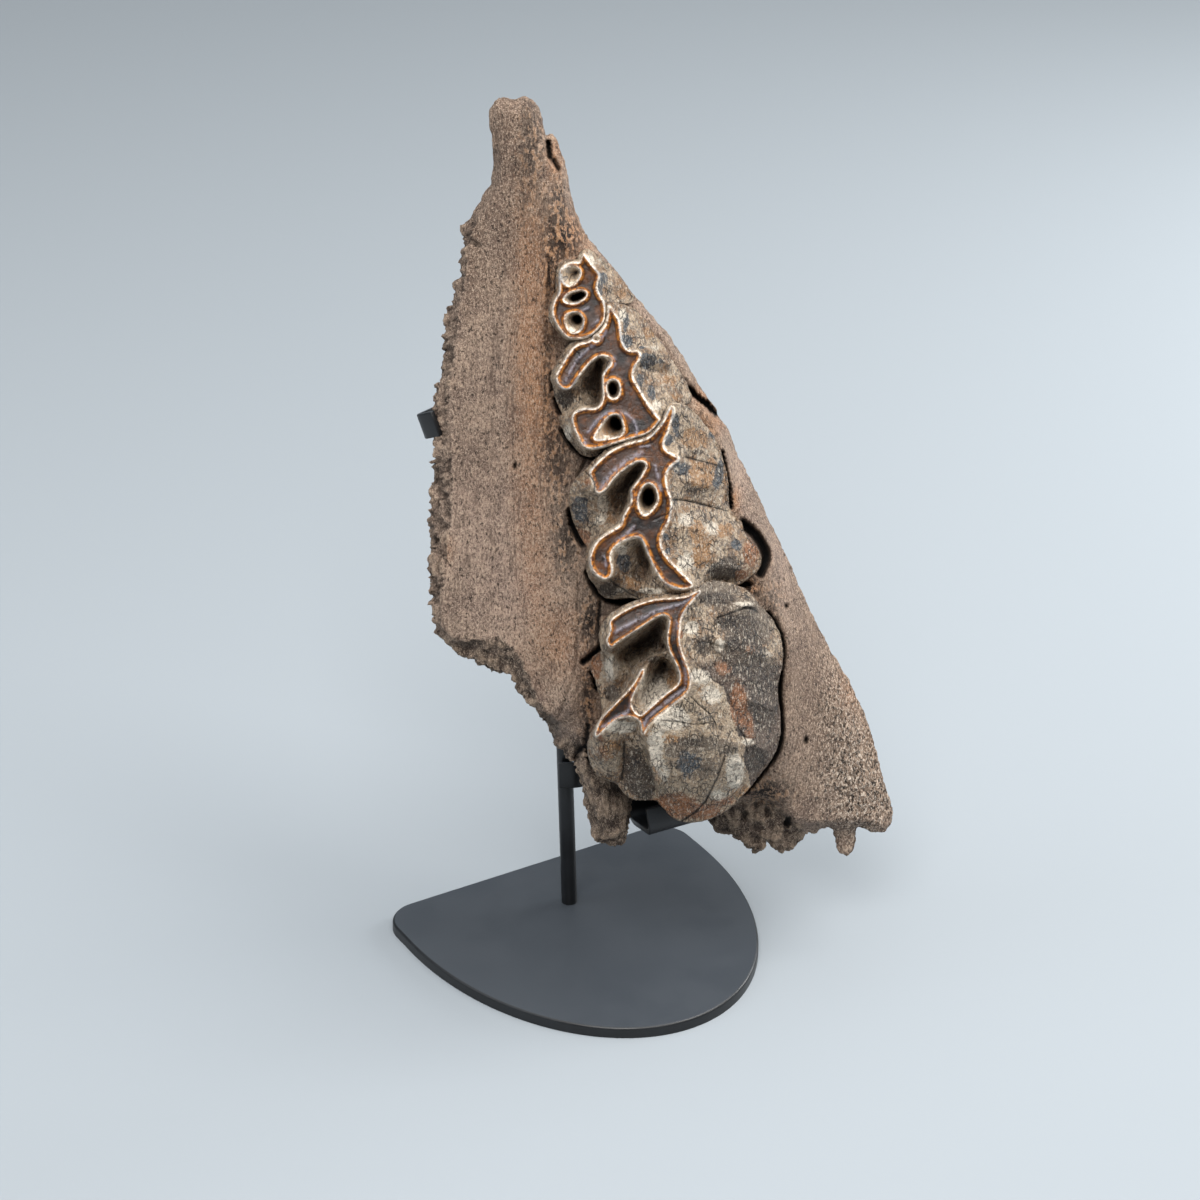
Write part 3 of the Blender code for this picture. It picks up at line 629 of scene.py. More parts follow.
# %% Molar
MOLAR = {
    "outline": [(699, 588, .95), (704, 584, .75), (712, 581, .55), (722, 583, .4), (735, 586, .25),
      (744, 590, .15), (752, 597, .08), (757, 605, .03), (768, 615, -.05), (776, 628, -.08),
      (780, 640, -.08), (781, 650, -.08), (781, 665, -.08), (777, 680, -.08), (776, 692, -.08),
      (778, 710, -.08), (779, 730, -.05), (776, 748, -.03), (768, 762, 0), (757, 775, .05), (750, 785, .1),
      (740, 796, .15), (730, 806, .2), (718, 814, .25), (705, 819, .28), (692, 821, .3), (680, 820, .32),
      (670, 814, .33), (662, 803, .35), (657, 798, .3), (643, 799, .25), (632, 797.5, .25), (625, 792, .28),
      (620, 785, .32), (617, 781, .35), (608, 779, .38), (600, 775, .4), (594, 768, .42), (590, 757, .5),
      (589, 746, .6), (590, 739, .72), (594, 731, .8), (599, 722, .82), (604, 714, .82), (603, 703, .3),
      (600, 690, .15), (597, 680, .1), (592, 670, .05), (592, 660, .05), (598, 655, .15), (603, 652, .55),
      (602, 645, .7), (600, 637, .72), (602, 628, .75), (607, 619, .85), (615, 612, .88), (630, 604, .9),
      (645, 599, .92), (658, 596, .93), (672, 595.5, .93), (683, 595, .94), (691, 592, .95)],
    "facet": [(699, 590), (690, 595.5), (680, 598), (668, 598.5), (656, 599.5), (645, 602), (634, 606),
      (624, 611), (615, 616.5), (609, 622), (611, 628), (609, 635), (606, 641), (611, 649), (616, 643.5),
      (626, 637), (637, 630), (646, 624), (654, 618.5), (662, 614.5), (668, 616), (670, 621), (668, 630),
      (667, 641), (669, 650), (673, 658), (677, 666), (680, 674), (680, 681), (676, 687), (668, 692),
      (660, 699), (651, 707), (645, 712.5), (641, 716), (636, 714), (632, 708), (631, 701), (634, 693),
      (639, 684), (643, 677), (645, 669), (641, 669), (637, 679), (629, 690), (621, 698), (613, 706),
      (605, 714), (599, 722), (596, 730), (595, 737), (599, 735.5), (605, 729), (611, 723.5), (618, 718.5),
      (625, 716.5), (633, 717), (640, 720.5), (641, 727), (642, 735), (645, 733), (648, 726), (655, 718.5),
      (664, 711.5), (674, 703.5), (684, 696.5), (690, 688.5), (691, 679), (689, 670), (685, 660), (681, 650),
      (679, 640), (680, 630), (680, 622), (683, 613), (689, 605), (696, 597), (701, 592)],
    "band": 1.7,
    "pits": [],
    "guides": [[(661, 620, .55), (655, 636, .05), (640, 648, -.1), (626, 658, .05)],
      [(665, 645, .45), (659, 651, .35)],
      [(614, 650, .75), (612, 665, .62), (614, 680, .5)], [(628, 672, .4), (620, 690, .35)],
      [(606, 655, .5), (603, 668, .3), (606, 685, .2), (609, 700, .2)],
      [(645, 668, .9), (651, 660, .84), (660, 654, .8), (668, 650, .82)],
      [(640, 705, .82), (646, 694, .68), (652, 682, .52), (658, 673, .3), (664, 664, .15)],
      [(674, 680, .75), (672, 672, .6), (668, 668, .35)],
      [(620, 726, .86), (632, 727, .8), (637, 733, .7)], [(605, 740, .9), (616, 734, .88)],
      [(598, 750, .82), (606, 762, .7), (612, 772, .52)], [(614, 745, .84), (617, 765, .62)],
      [(623, 742, .62), (624, 760, .5), (621, 778, .38)],
      [(632, 745, .66), (636, 765, .58), (640, 788, .4)],
      [(644, 750, .6), (650, 770, .48), (655, 790, .35)],
      [(647, 748, .92), (653, 770, .84), (660, 790, .7)],
      [(660, 730, .99), (672, 745, .98), (680, 765, .92), (688, 785, .78), (694, 805, .55)],
      [(690, 705, .98), (705, 720, .95), (712, 745, .9), (716, 770, .78), (712, 795, .58)],
      [(735, 745, .74), (740, 765, .6), (736, 785, .42)],
      [(755, 745, .5), (764, 750, .32)], [(748, 700, .62), (765, 705, .33), (773, 710, .12)],
      [(700, 640, .9), (700, 660, .92), (705, 680, .94)],
      [(718, 665, .8), (738, 680, .68), (760, 680, .36)],
      [(745, 650, .62), (764, 655, .33), (775, 658, .12)],
      [(686, 622, .92), (694, 632, .9), (702, 628, .86)], [(700, 601, .85), (706, 606, .78)],
      [(712, 612, .72), (722, 598, .55), (740, 597, .32)],
      [(718, 619, .74), (730, 612, .66), (740, 606, .56), (749, 603.5, .48), (756, 606, .36)],
      [(725, 628, .66), (745, 622, .45), (764, 628, .2)],
      [(719, 640, .86), (719, 650, .86)], [(710, 644, .76), (728, 650, .7)]],
    "lilac": [([(615, 632), (628, 625), (642, 618), (656, 611), (670, 607), (682, 604), (692, 598)], 1.9),
      ([(677, 622), (678, 635), (679, 646), (683, 660), (686, 672), (686, 683)], 1.5),
      ([(684, 689), (670, 699), (656, 710), (646, 719), (643, 728)], 1.5),
      ([(640, 683), (632, 697), (630, 707), (627, 713), (615, 718), (603, 727)], 1.8)],
    "blue": [(615, 665, 12, 20, .35), (650, 748, 5, 7, .4), (700, 715, 18, 8, .4), (600, 763, 8, 8, .4),
      (695, 760, 18, 14, .45), (718, 646, 6, 6, .6), (632, 770, 10, 25, .35), (685, 765, 12, 14, .5)],
    # The blot at (744, 604) is a painted highlight along the crest ridge.
    "pale": [(670, 715, 16, 10, .8), (656, 752, 8, 20, .8), (735, 768, 10, 18, .7), (653, 692, 16, 20, 1),
      (620, 727, 18, 7, .9), (612, 668, 10, 16, .8), (692, 628, 8, 8, .9), (700, 676, 12, 8, .9),
      (712, 695, 14, 12, .7), (675, 722, 18, 12, .6), (665, 775, 8, 16, .5), (735, 775, 8, 16, .7),
      (718, 795, 12, 8, .6), (748, 742, 7, 4, .9), (719, 645, 6, 7, .9), (768, 655, 8, 12, .4),
      (744, 604, 12, 3, .8), (698, 608, 8, 8, .4), (655, 740, 10, 8, .6), (616, 640, 10, 5, .6)],
    "tan": [(668, 740, 14, 10, .6), (740, 790, 14, 8, .7), (655, 765, 6, 16, .6), (612, 745, 12, 8, .7),
      (705, 690, 12, 4, .5), (672, 679, 6, 12, .9), (650, 735, 8, 8, .5)],
    # The large grey blot at (748, 625) and the dark blots at (736, 622), (742, 652), (765, 700), (634, 770)
    # and (646, 788) are painted shade: on the upper right, under the crest ridge and on the left cusp.
    "grey": [(748, 625, 34, 34, .9), (712, 592, 24, 16, .8), (700, 743, 24, 8, .85), (705, 768, 20, 16, .7),
      (675, 752, 14, 8, .7), (730, 748, 12, 10, .6)],
    "dark": [(634, 770, 12, 26, 1), (646, 788, 8, 14, 1), (608, 775, 10, 8, .5), (690, 607, 8, 8, .5),
      (718, 598, 22, 9, .8), (736, 622, 26, 7, .85), (704, 646, 11, 10, .9), (742, 652, 28, 30, .8),
      (765, 700, 18, 34, .9), (690, 742, 24, 8, .6), (755, 760, 14, 20, .7), (690, 712, 16, 5, .4),
      (612, 693, 9, 10, .9), (648, 780, 6, 16, .7), (700, 762, 20, 12, .4), (604, 662, 5, 12, .5),
      (656, 660, 10, 5, .8)],
    "rust": [(657, 765, 5, 26, .5), (604, 752, 8, 14, .45), (738, 705, 9, 24, 1), (722, 668, 12, 10, .6),
      (675, 805, 24, 14, .9), (705, 812, 20, 8, .8), (725, 800, 14, 6, .7), (596, 665, 6, 16, 1),
      (750, 650, 14, 10, .4), (750, 725, 6, 14, .6), (679, 634, 5, 5, .9), (660, 748, 5, 12, .4),
      (600, 738, 4, 6, .5), (752, 740, 6, 8, .4)],
    "cracks": [([(691, 697), (700, 706), (710, 714), (716, 725)], .8, .5),
      ([(661, 720), (680, 722), (695, 725), (712, 722)], .6, .3),
      ([(724, 759), (718, 775), (710, 793), (704, 804), (690, 816), (682, 821)], 1, .7),
      ([(624, 742), (624, 765), (621, 780)], 1.2, .6),
      ([(717, 618), (734, 612), (748, 607), (758, 612)], 1.1, .9),
      ([(738, 728), (746, 738), (747, 752)], .9, .5)],
}
FLAKED_ENAMEL = [(640, 722), (680, 692), (692, 660), (701, 668), (712, 680), (722, 686), (726, 692),
    (728, 702), (734, 710), (737, 720), (736, 729), (740, 736), (748, 738), (753, 739), (748, 746),
    (744, 755), (744, 762), (748, 770), (750, 785), (760, 830), (640, 830)]
FLAKE_THICKNESS_MM = 0.7
print("molar:", len(MOLAR["facet"]), "facet points")

# %% [markdown]
# ### Shaping a tooth
#
# First come the distances: from the edge of the facet, from the edges of the pits, from the
# cracks. They say where the white ridge runs, where the amber line and the dark dentine lie, and
# how deep everything is. The same distances are kept as named masks on the points of the mesh,
# so that the finish can follow the shape.

# %% Tooth shapes
TOOTH_SPACING_PIXELS = 1.15
TOOTH_BACK_SPACING_PIXELS = 6.0
TOOTH_WALL_SPACING_MM = 0.8
TOOTH_SWELLING_PIXELS = 1.1
SKIN_CELL_PIXELS = 0.8


def spots(x, y, places):
    """A soft mask made of a few blots, each (x, y, half width, half height, strength)."""
    mask = np.zeros(x.shape)
    for px, py, wide, tall, strength in places:
        blot = strength * np.exp(-((x - px) / wide) ** 2 - ((y - py) / tall) ** 2)
        mask = 1 - (1 - mask) * (1 - blot)
    return mask


def between_arms(x, y, outline):
    """Whether parts of an outline lie both to the left and to the right of a point."""
    left, right = np.zeros(x.shape, bool), np.zeros(x.shape, bool)
    for (ax, ay), (bx, by) in zip(*segments(outline, True)):
        if ay != by:
            crosses = (ay > y) != (by > y)
            place = (bx - ax) * (y - ay) / (by - ay) + ax
            left |= crosses & (place < x)
            right |= crosses & (place > x)
    return left & right


def tooth_detail(tooth, x, y, share):
    """What the wear pattern adds to the height, and the masks for the finish."""
    facet = smooth_line(tooth["facet"], True, 2)
    pits = [smooth_line(pit["edge"], True, 2) for pit in tooth["pits"]]
    on_facet = is_inside(x, y, facet)
    edge = line_distance(x, y, facet, True)
    in_pit = np.zeros(x.shape, bool)
    pit_depth = np.zeros(x.shape)
    for pit in pits:
        inside = is_inside(x, y, pit)
        away = line_distance(x, y, pit, True)
        in_pit |= inside
        pit_depth = np.where(inside, away, pit_depth)
        edge = np.minimum(edge, away)
    worn = on_facet & ~in_pit
    band = tooth["band"]
    enamel = np.where(worn, 1 - step(band * 0.5, band * 0.85, edge), 1 - step(0.1, 1.1, edge))
    amber = np.where(worn, step(band * 0.4, band * 0.8, edge) * (1 - step(band * 1.2, band * 2.0, edge)), 0)
    dentine = np.where(worn, step(band * 0.9, band * 1.5, edge), 0)
    lilac = np.zeros(x.shape)
    for line, width in tooth["lilac"]:
        away = line_distance(x, y, smooth_line(line))
        lilac = np.maximum(lilac, np.exp(-(away / width) ** 2))
    lilac *= np.where(worn, step(band * 0.7, band * 1.2, edge), 0)
    ridge = np.where(worn, 0.35 * np.exp(-((edge - band * 0.45) / (band * 0.5)) ** 2), 0)
    basin = np.where(worn, -0.9 * step(band * 0.7, band * 2.2, edge), 0)
    added = ridge + basin + 0.3 * lilac * (basin < -0.1)
    crack_shade = np.zeros(x.shape)
    for line, width, depth in tooth["cracks"]:
        away = line_distance(x, y, smooth_line(line, rounds=1))
        near = np.exp(-(away / width) ** 2)
        crack_shade = np.maximum(crack_shade, near)
        added -= depth * near
    depth = 1 - share
    masks = {"enamel": enamel, "amber": amber, "dentine": dentine, "lilac": lilac, "crack_shade": crack_shade,
             # The pit mask grows with depth: the finish uses it as painted shade.
             "pit": np.where(in_pit, step(0.15, 0.55, depth), 0),
             "deep": np.where(between_arms(x, y, facet) & ~worn & ~in_pit, step(0.2, 0.75, depth), 0),
             "free": np.where(worn | in_pit, 0, step(0.5, 3, edge))}
    for colour in ("blue", "pale", "tan", "dark", "rust", "grey"):
        share_on_worn = 0.8 if colour == "rust" else 0.2
        masks[colour] = spots(x, y, tooth.get(colour, [])) * np.where(worn, share_on_worn, 1)
    return added, masks


def swollen(outline, reach):
    """An outline pushed outwards, so that teeth press on each other as they do in the jaw."""
    along = np.roll(outline, -1, axis=0) - np.roll(outline, 1, axis=0)
    length = np.maximum(np.hypot(along[:, 0], along[:, 1]), 1e-6)
    out = np.stack([along[:, 1] / length, -along[:, 0] / length], 1)
    result = outline.copy()
    result[:, :2] += out * (reach if twice_area(outline) > 0 else -reach)
    return result


def make_tooth(name, tooth):
    lines = [np.vstack([tooth["outline"], tooth["outline"][:1]])]
    rims = [tooth["facet"]] + [pit["edge"] for pit in tooth["pits"]]
    for rim in rims:
        closed = smooth_line(rim, True, 2)
        closed = np.vstack([closed, closed[:1]])
        lines.append(np.column_stack([closed, np.ones(len(closed))]))
    lines += [pit["floor"] for pit in tooth["pits"]] + tooth["guides"]
    skin = Skin(lines, SKIN_CELL_PIXELS, soft=2)

    def front(x, y):
        return chewing_height(y) * skin.at(x, y) + tooth_detail(tooth, x, y, skin.at(x, y))[0]

    def back(x, y):
        return np.full(x.shape, TOOTH_ROOT_W)

    outline = swollen(smooth_line(tooth["outline"], True, 1), TOOTH_SWELLING_PIXELS)
    x, y, w, faces, part = closed_relief(outline, TOOTH_SPACING_PIXELS, front, back,
                                         TOOTH_BACK_SPACING_PIXELS, TOOTH_WALL_SPACING_MM)
    share = w / chewing_height(y)
    masks = tooth_detail(tooth, x, y, share)[1]
    masks["wall"] = (part > 0).astype(float)
    if tooth is MOLAR:
        layer = is_inside(x, y, FLAKED_ENAMEL)
        away = line_distance(x, y, FLAKED_ENAMEL, True)
        lift = np.where(layer, FLAKE_THICKNESS_MM * step(0, 1.5, away), 0)
        w = w + np.where((part == 0) & (masks["enamel"] < 0.5), lift, 0)
        masks["rim"] = np.where(layer, 0, np.exp(-(away / 1.6) ** 2)) * (x > 695)
        masks["layer"] = layer * masks["free"]
        masks["bare"] = np.where(layer, 0, step(655, 670, y)) * step(690, 700, x) * masks["free"]
    else:
        masks["rim"] = masks["layer"] = masks["bare"] = np.zeros(x.shape)
    places = on_jaw(x, y, w)
    normals = normals_of(places, faces)
    grain = 0.24 * rough(places, 1.3, octaves=3) + 0.3 * rough(places, 4.0, octaves=2, shift=7)
    places = places + normals * (grain * (0.2 + 0.8 * masks["free"]))[:, None]
    piece = make_mesh(name + "_fossil", places, faces, masks)
    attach(piece, "root")
    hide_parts(name)
    print(piece.name, len(faces), "triangles, crown to", round(float(w.max()), 1), "mm")
    return piece


TEETH = {"front_premolar": FRONT_PREMOLAR, "middle_premolar": MIDDLE_PREMOLAR,
         "rear_premolar": REAR_PREMOLAR, "molar": MOLAR}
teeth = [make_tooth(name, tooth) for name, tooth in TEETH.items()]

# %% [markdown]
# ## A small kit for finishes
#
# Every finish is a node tree on the Principled shader. A few helpers keep it readable: one makes
# a node and sets its inputs, one lays a colour over another by a mask, and one spreads a soft
# noise. Patterns read Object coordinates, turned to the jaw's axes, and the masks of the mesh.

# %% Finish helpers
def new_finish(name):
    material = bpy.data.materials.new(name)
    material.use_nodes = True
    return material, material.node_tree, material.node_tree.nodes["Principled BSDF"]


def add_node(tree, kind, settings=None, **inputs):
    """A node with its settings and inputs. An input may be a value or another node's output."""
    node = tree.nodes.new(kind)
    for key, value in (settings or {}).items():
        setattr(node, key, value)
    for key, value in inputs.items():
        socket = node.inputs[int(key[1:])] if key[0] == "i" and key[1:].isdigit() else node.inputs[key]
        if isinstance(value, bpy.types.NodeSocket):
            tree.links.new(value, socket)
        else:
            socket.default_value = value
    return node


def linear(code):
    """A hexadecimal screen colour as linear red, green, blue and alpha."""
    parts = [int(code[i:i + 2], 16) / 255 for i in (1, 3, 5)]
    return tuple(p / 12.92 if p <= 0.04045 else ((p + 0.055) / 1.055) ** 2.4 for p in parts) + (1.0,)


def mask_of(tree, name):
    return add_node(tree, "ShaderNodeAttribute", {"attribute_name": name}).outputs["Fac"]


def link_or_set(tree, value, socket):
    if isinstance(value, bpy.types.NodeSocket):
        tree.links.new(value, socket)
    else:
        socket.default_value = value


def lay_over(tree, below, colour, mask, mode="MIX"):
    """The colour laid over what is below, where the mask is 1."""
    mix = add_node(tree, "ShaderNodeMix", {"data_type": "RGBA", "blend_type": mode})
    ends = [socket for socket in mix.inputs if socket.type == "RGBA"]
    link_or_set(tree, mask, mix.inputs[0])
    link_or_set(tree, linear(below) if isinstance(below, str) else below, ends[0])
    link_or_set(tree, linear(colour) if isinstance(colour, str) else colour, ends[1])
    return next(socket for socket in mix.outputs if socket.type == "RGBA")


def combine(tree, operation, a, b, c=None, clamp=False):
    node = tree.nodes.new("ShaderNodeMath")
    node.operation = operation
    node.use_clamp = clamp
    link_or_set(tree, a, node.inputs[0])
    link_or_set(tree, b, node.inputs[1])
    if c is not None:
        link_or_set(tree, c, node.inputs[2])
    return node.outputs[0]


def times(tree, a, b):
    return combine(tree, "MULTIPLY", a, b)


def tint(tree, below, colour, mask_name, share):
    """The colour laid over by a mask of the mesh, at a share of its strength."""
    return lay_over(tree, below, colour, times(tree, mask_of(tree, mask_name), share))


def between(tree, value, low, high, to_low=0.0, to_high=1.0):
    """A value's stretch from low to high, softly spread from to_low to to_high."""
    node = add_node(tree, "ShaderNodeMapRange", {"interpolation_type": "SMOOTHSTEP"})
    link_or_set(tree, value, node.inputs["Value"])
    for key, number in (("From Min", low), ("From Max", high), ("To Min", to_low), ("To Max", to_high)):
        node.inputs[key].default_value = number
    return node.outputs["Result"]


def jaw_coordinates(tree, stretch=(1, 1, 1)):
    """Object coordinates turned to the jaw's axes, with the grain stretched along them."""
    place = add_node(tree, "ShaderNodeTexCoord").outputs["Object"]
    turned = add_node(tree, "ShaderNodeMapping", {"vector_type": "POINT"}, Vector=place)
    axes = Matrix((JAW_RIGHT, JAW_UP, JAW_OUT))
    turned.inputs["Rotation"].default_value = axes.to_euler()
    scaled = add_node(tree, "ShaderNodeMapping", {"vector_type": "POINT"}, Vector=turned.outputs[0])
    scaled.inputs["Scale"].default_value = stretch
    return scaled.outputs[0]


def cloud(tree, where, scale, detail=4.0, roughness=0.6, distortion=0.0):
    """Soft noise; scale is in grains per metre."""
    return add_node(tree, "ShaderNodeTexNoise", None, Vector=where, Scale=scale, Detail=detail,
                    Roughness=roughness, Distortion=distortion).outputs["Fac"]


print("finish helpers ready")

# %% [markdown]
# ## The bone
#
# The jaw bone is one piece. To the left lies the flat palate, which ends in a rough edge where
# it met the other half of the jaw. The teeth stand in a spongy border, and to the right the
# outer wall slopes away to a smooth edge. The lower end is broken. The outline is set down as it
# is seen, and the heights again as guide lines, this time in millimetres over the jaw's plane.

# %% Outline of the bone
BONE_TIP = [(489.5, 116), (490, 110), (493, 106), (496, 101), (499, 98.5), (504, 97), (508, 99),
    (514, 100.5), (520, 98), (525, 97.5), (530, 99.5), (534, 102), (538, 108), (541, 117), (543, 126),
    (545, 134), (546.5, 138), (548, 135.5), (551, 135), (555, 138), (558, 144)]
BONE_RIGHT_EDGE = [(561, 152), (564, 160), (566, 168), (568, 178), (570, 190), (573, 203), (577, 216),
    (582, 230), (589, 240), (597, 249), (604, 258), (612, 267), (621, 279), (636, 298), (655, 321),
    (668, 335), (684, 360), (697, 383), (706, 396), (716, 409), (718, 417), (728, 430), (737, 455),
    (751, 482), (768, 519), (788, 560), (795, 578), (813, 617), (832, 654), (848, 679), (861, 707),
    (873, 739), (882, 780), (889, 797), (893, 812), (891, 825), (884, 832)]
BONE_LOWER_EDGE = [(877, 832), (868, 830), (862, 828), (857, 827), (855, 832), (855, 845), (852, 852),
    (846, 855), (840, 853), (836, 846), (835, 838), (832, 829), (828, 827), (820, 829), (815, 833),
    (809, 831), (804, 835), (800, 841), (793, 846), (785, 850), (778, 851), (772, 845), (767, 838),
    (764, 842), (763, 848), (757, 851), (751, 848), (745, 842), (738, 838), (731, 832), (722, 832),
    (716, 826), (709, 823), (706, 812), (690, 806), (665, 796), (645, 790), (633, 797), (629, 808),
    (628, 820), (627, 832), (624, 842), (617, 845), (610, 843), (604, 841), (597, 840), (593, 833)]
BONE_LEFT_EDGE = [(590, 822), (588, 808), (586, 797), (582, 782), (578, 765), (574, 760), (567, 758),
    (564, 750), (558, 746), (553, 738), (550, 730), (551, 724), (545, 719), (540, 718), (538, 710),
    (533, 705), (527, 701), (520, 693), (516, 682), (512, 674), (504, 671), (493, 670), (487, 667),
    (480, 664), (476, 658), (465, 657), (457, 652), (452, 646), (443, 640), (438, 633), (434, 626),
    (432, 611), (431, 600), (430, 585), (428, 570), (429, 560), (431, 548), (430, 530), (429, 515),
    (430, 500), (432, 490), (434, 478), (432, 467), (432, 457), (433, 445), (434, 432), (434, 420),
    (434, 410), (435, 398), (436, 389), (440, 373), (441, 360), (443, 350), (443, 340), (444, 328),
    (442, 320), (445, 313), (449, 306), (453, 300), (454, 289), (456, 280), (459, 271), (460, 260),
    (461, 250), (464, 240), (464, 233), (463, 228), (466, 222), (471, 217), (476, 208), (480, 203),
    (483, 198), (485, 192), (490, 187), (492, 181), (493.5, 165), (493, 150), (492, 135), (490, 125)]
BONE_SPACING_PIXELS = 2.1
BONE_BACK_SPACING_PIXELS = 3.4
BONE_WALL_SPACING_MM = 0.9
MIDDLE_X = 545
LEFT_EDGE_W = -10.5
TIP_W = -7.0
RIGHT_EDGE_W = [(140, -8), (200, -10), (330, -13), (500, -19), (600, -23), (700, -27), (830, -27)]
INNER_WALL_W = -29.0
PILLAR_TIP_W = -15.0


def on_pillar(x, y):
    """Whether a place is on the broken end of bone below the molar's left side."""
    return (y > 740) & (x < 640)


def on_inner_wall(x, y):
    """Whether a place is on the broken wall between the pillar and the rear corner."""
    return (y > 780) & (x >= 640) & (x < 803)


def edge_height(x, y):
    """Height of the front's edge: along the left, the tip, the right and the broken lower end."""
    right = np.interp(y, *zip(*RIGHT_EDGE_W))
    height = np.where(x > MIDDLE_X, right, LEFT_EDGE_W)
    height = np.where((y < 150) & (x < 548), TIP_W, height)
    height = np.where(on_pillar(x, y), PILLAR_TIP_W, height)
    return np.where(on_inner_wall(x, y), INNER_WALL_W, height)


def rugged(outline):
    """The outline with the fine teeth of a suture on the left and of breaks at the lower end."""
    points = spread_along(outline, BONE_SPACING_PIXELS, True)
    along = np.roll(points, -1, axis=0) - np.roll(points, 1, axis=0)
    out = np.stack([along[:, 1], -along[:, 0]], 1) / np.hypot(*along.T)[:, None]
    x, y = points.T
    suture = step(505, 470, x) * step(215, 300, y) * step(650, 630, y)
    broken = step(635, 660, y) * np.where(x < 850, 1, 0.6) * step(905, 880, x)
    broken *= np.where((x > 800) & (y < 820), 0, 1)
    tip = step(130, 110, y) * 0.3
    wobble = np.array([noise.fractal((px / 4.5, py / 4.5, 1.7), 0.7, 2.0, 2) for px, py in points.tolist()])
    comb = np.array([noise.noise((0.3, py / 4.4, 4.2)) for _, py in points.tolist()])
    shift = suture * (6.0 * comb - 0.6 + 1.4 * wobble) + broken * 2.2 * wobble + tip * wobble
    return points + out * shift[:, None]


bone_outline = rugged(BONE_TIP + BONE_RIGHT_EDGE + BONE_LOWER_EDGE + BONE_LEFT_EDGE)
print("bone outline of", len(bone_outline), "points")

# %% [markdown]
# ### Heights of the front
#
# The palate is a shallow dish: it rises to the teeth on one side and stops at the suture on the
# other. The outer wall falls away from the teeth. The lines run from the front end of the jaw
# (top) to the broken rear end (bottom).

# %% Guides of the front
PALATE_EDGE = [(497, 108, -4.5), (500, 130, -4.5), (500, 160, -4.5), (499, 182, -5), (490, 202, -5.5),
    (481, 217, -6), (471, 230, -6.5), (469, 245, -6.5), (466, 262, -6.5), (462, 290, -6.5), (458, 315, -6.5),
    (455, 335, -6.5), (452, 365, -6.5), (449, 393, -6.5), (449, 427, -6.5), (451, 460, -6.5),
    (452, 497, -6.5), (449, 540, -6.5), (445, 571, -6.5), (441, 600, -6.5), (440, 624, -6.8), (447, 634, -7),
    (460, 640, -7), (480, 641, -7), (500, 637, -7), (509, 646, -7), (518, 655, -7), (523, 666, -7),
    (530, 680, -7), (537, 697, -7), (543, 712, -7.3), (552, 716, -7), (560, 722, -7)]
BONE_GUIDES = [
    PALATE_EDGE,
    [(521, 170, -4.5), (515, 230, -6), (505, 300, -7.8), (497, 380, -8.3), (497, 460, -8.3),
     (500, 540, -8.3), (505, 600, -8.2), (522, 650, -8), (545, 690, -8)],
    [(548, 185, -1.5), (550, 215, -.5), (547, 250, 0), (543, 290, .2), (540, 330, .2), (540, 380, .2),
     (545, 430, .2), (556, 470, 0), (562, 510, 0), (568, 560, 0), (573, 600, 0), (576, 640, -.4),
     (572, 680, -1.2), (570, 712, -2.5)],
    [(508, 104, -3.8), (508, 130, -3.4), (509, 160, -3.6)], [(521, 103, -4.2), (521, 135, -4.4)],
    [(530, 104, -3.2), (533, 140, -2.8), (536, 170, -2.6), (541, 195, -1.5)],
    [(542, 118, -5.5), (545, 150, -3.6), (549, 175, -2.2)],
    [(552, 142, -7.5), (557, 155, -6), (562, 175, -4.5), (566, 200, -4.5), (572, 225, -5),
     (584, 240, -6.5)],
    [(555, 200, -1.5), (560, 225, -1.2), (567, 245, -.8)],
    [(592, 247, -4.5), (602, 257, -6), (614, 270, -7.5), (626, 286, -8.5), (641, 304, -8.5),
     (661, 331, -9), (679, 358, -9.5), (692, 382, -9)],
    [(704, 412, -5), (718, 432, -5), (726, 455, -6), (731, 480, -6), (737, 505, -6), (748, 520, -6),
     (768, 540, -8), (776, 560, -8.5), (768, 578, -6), (766, 595, -5), (782, 615, -5.5),
     (789, 645, -6), (789, 700, -7), (787, 740, -8), (778, 772, -10)],
    [(745, 485, -11), (770, 540, -13), (790, 600, -13), (806, 650, -14), (815, 700, -15.5),
     (820, 750, -16.5), (817, 800, -17.5)],
    [(835, 690, -19.5), (850, 735, -21), (862, 775, -22), (868, 805, -22.5)],
    [(794, 812, -16.5), (812, 824, -18.5), (830, 823, -20), (850, 821, -21), (868, 823, -22.5),
     (884, 825, -25)],
    [(740, 796, -14), (760, 793, -13.5), (775, 797, -14.5), (787, 808, -16), (797, 822, -17.5)],
    [(735, 803, -24), (758, 802, -23.5), (772, 807, -23.5), (781, 816, -24), (793, 830, -25)],
    [(715, 812, -27), (742, 826, -26.5), (766, 826, -26), (786, 838, -27)],
    [(846, 836, -26), (846, 848, -26.5)],
    [(755, 785, -13), (772, 780, -11), (783, 795, -14)],
    [(583, 752, -10), (590, 785, -10), (597, 812, -10), (604, 832, -11)],
    [(603, 790, -8.5), (610, 812, -9), (616, 833, -10.5)], [(622, 800, -11), (623, 825, -12)],
    [(586, 615, .2), (588, 645, 0), (586, 690, -2.5), (585, 740, -6.5)],
    [(561, 729, -12.5), (567, 741, -13)], [(575, 724, -6.5), (577, 742, -8.5)],
    [(448, 643, -10.5), (470, 650, -11), (490, 655, -9.8), (505, 661, -9.8), (517, 676, -10.3),
     (528, 694, -10.3), (540, 712, -10)]]
SOCKET_FLOOR_W = -10.5
print(len(BONE_GUIDES), "guide lines on the front")
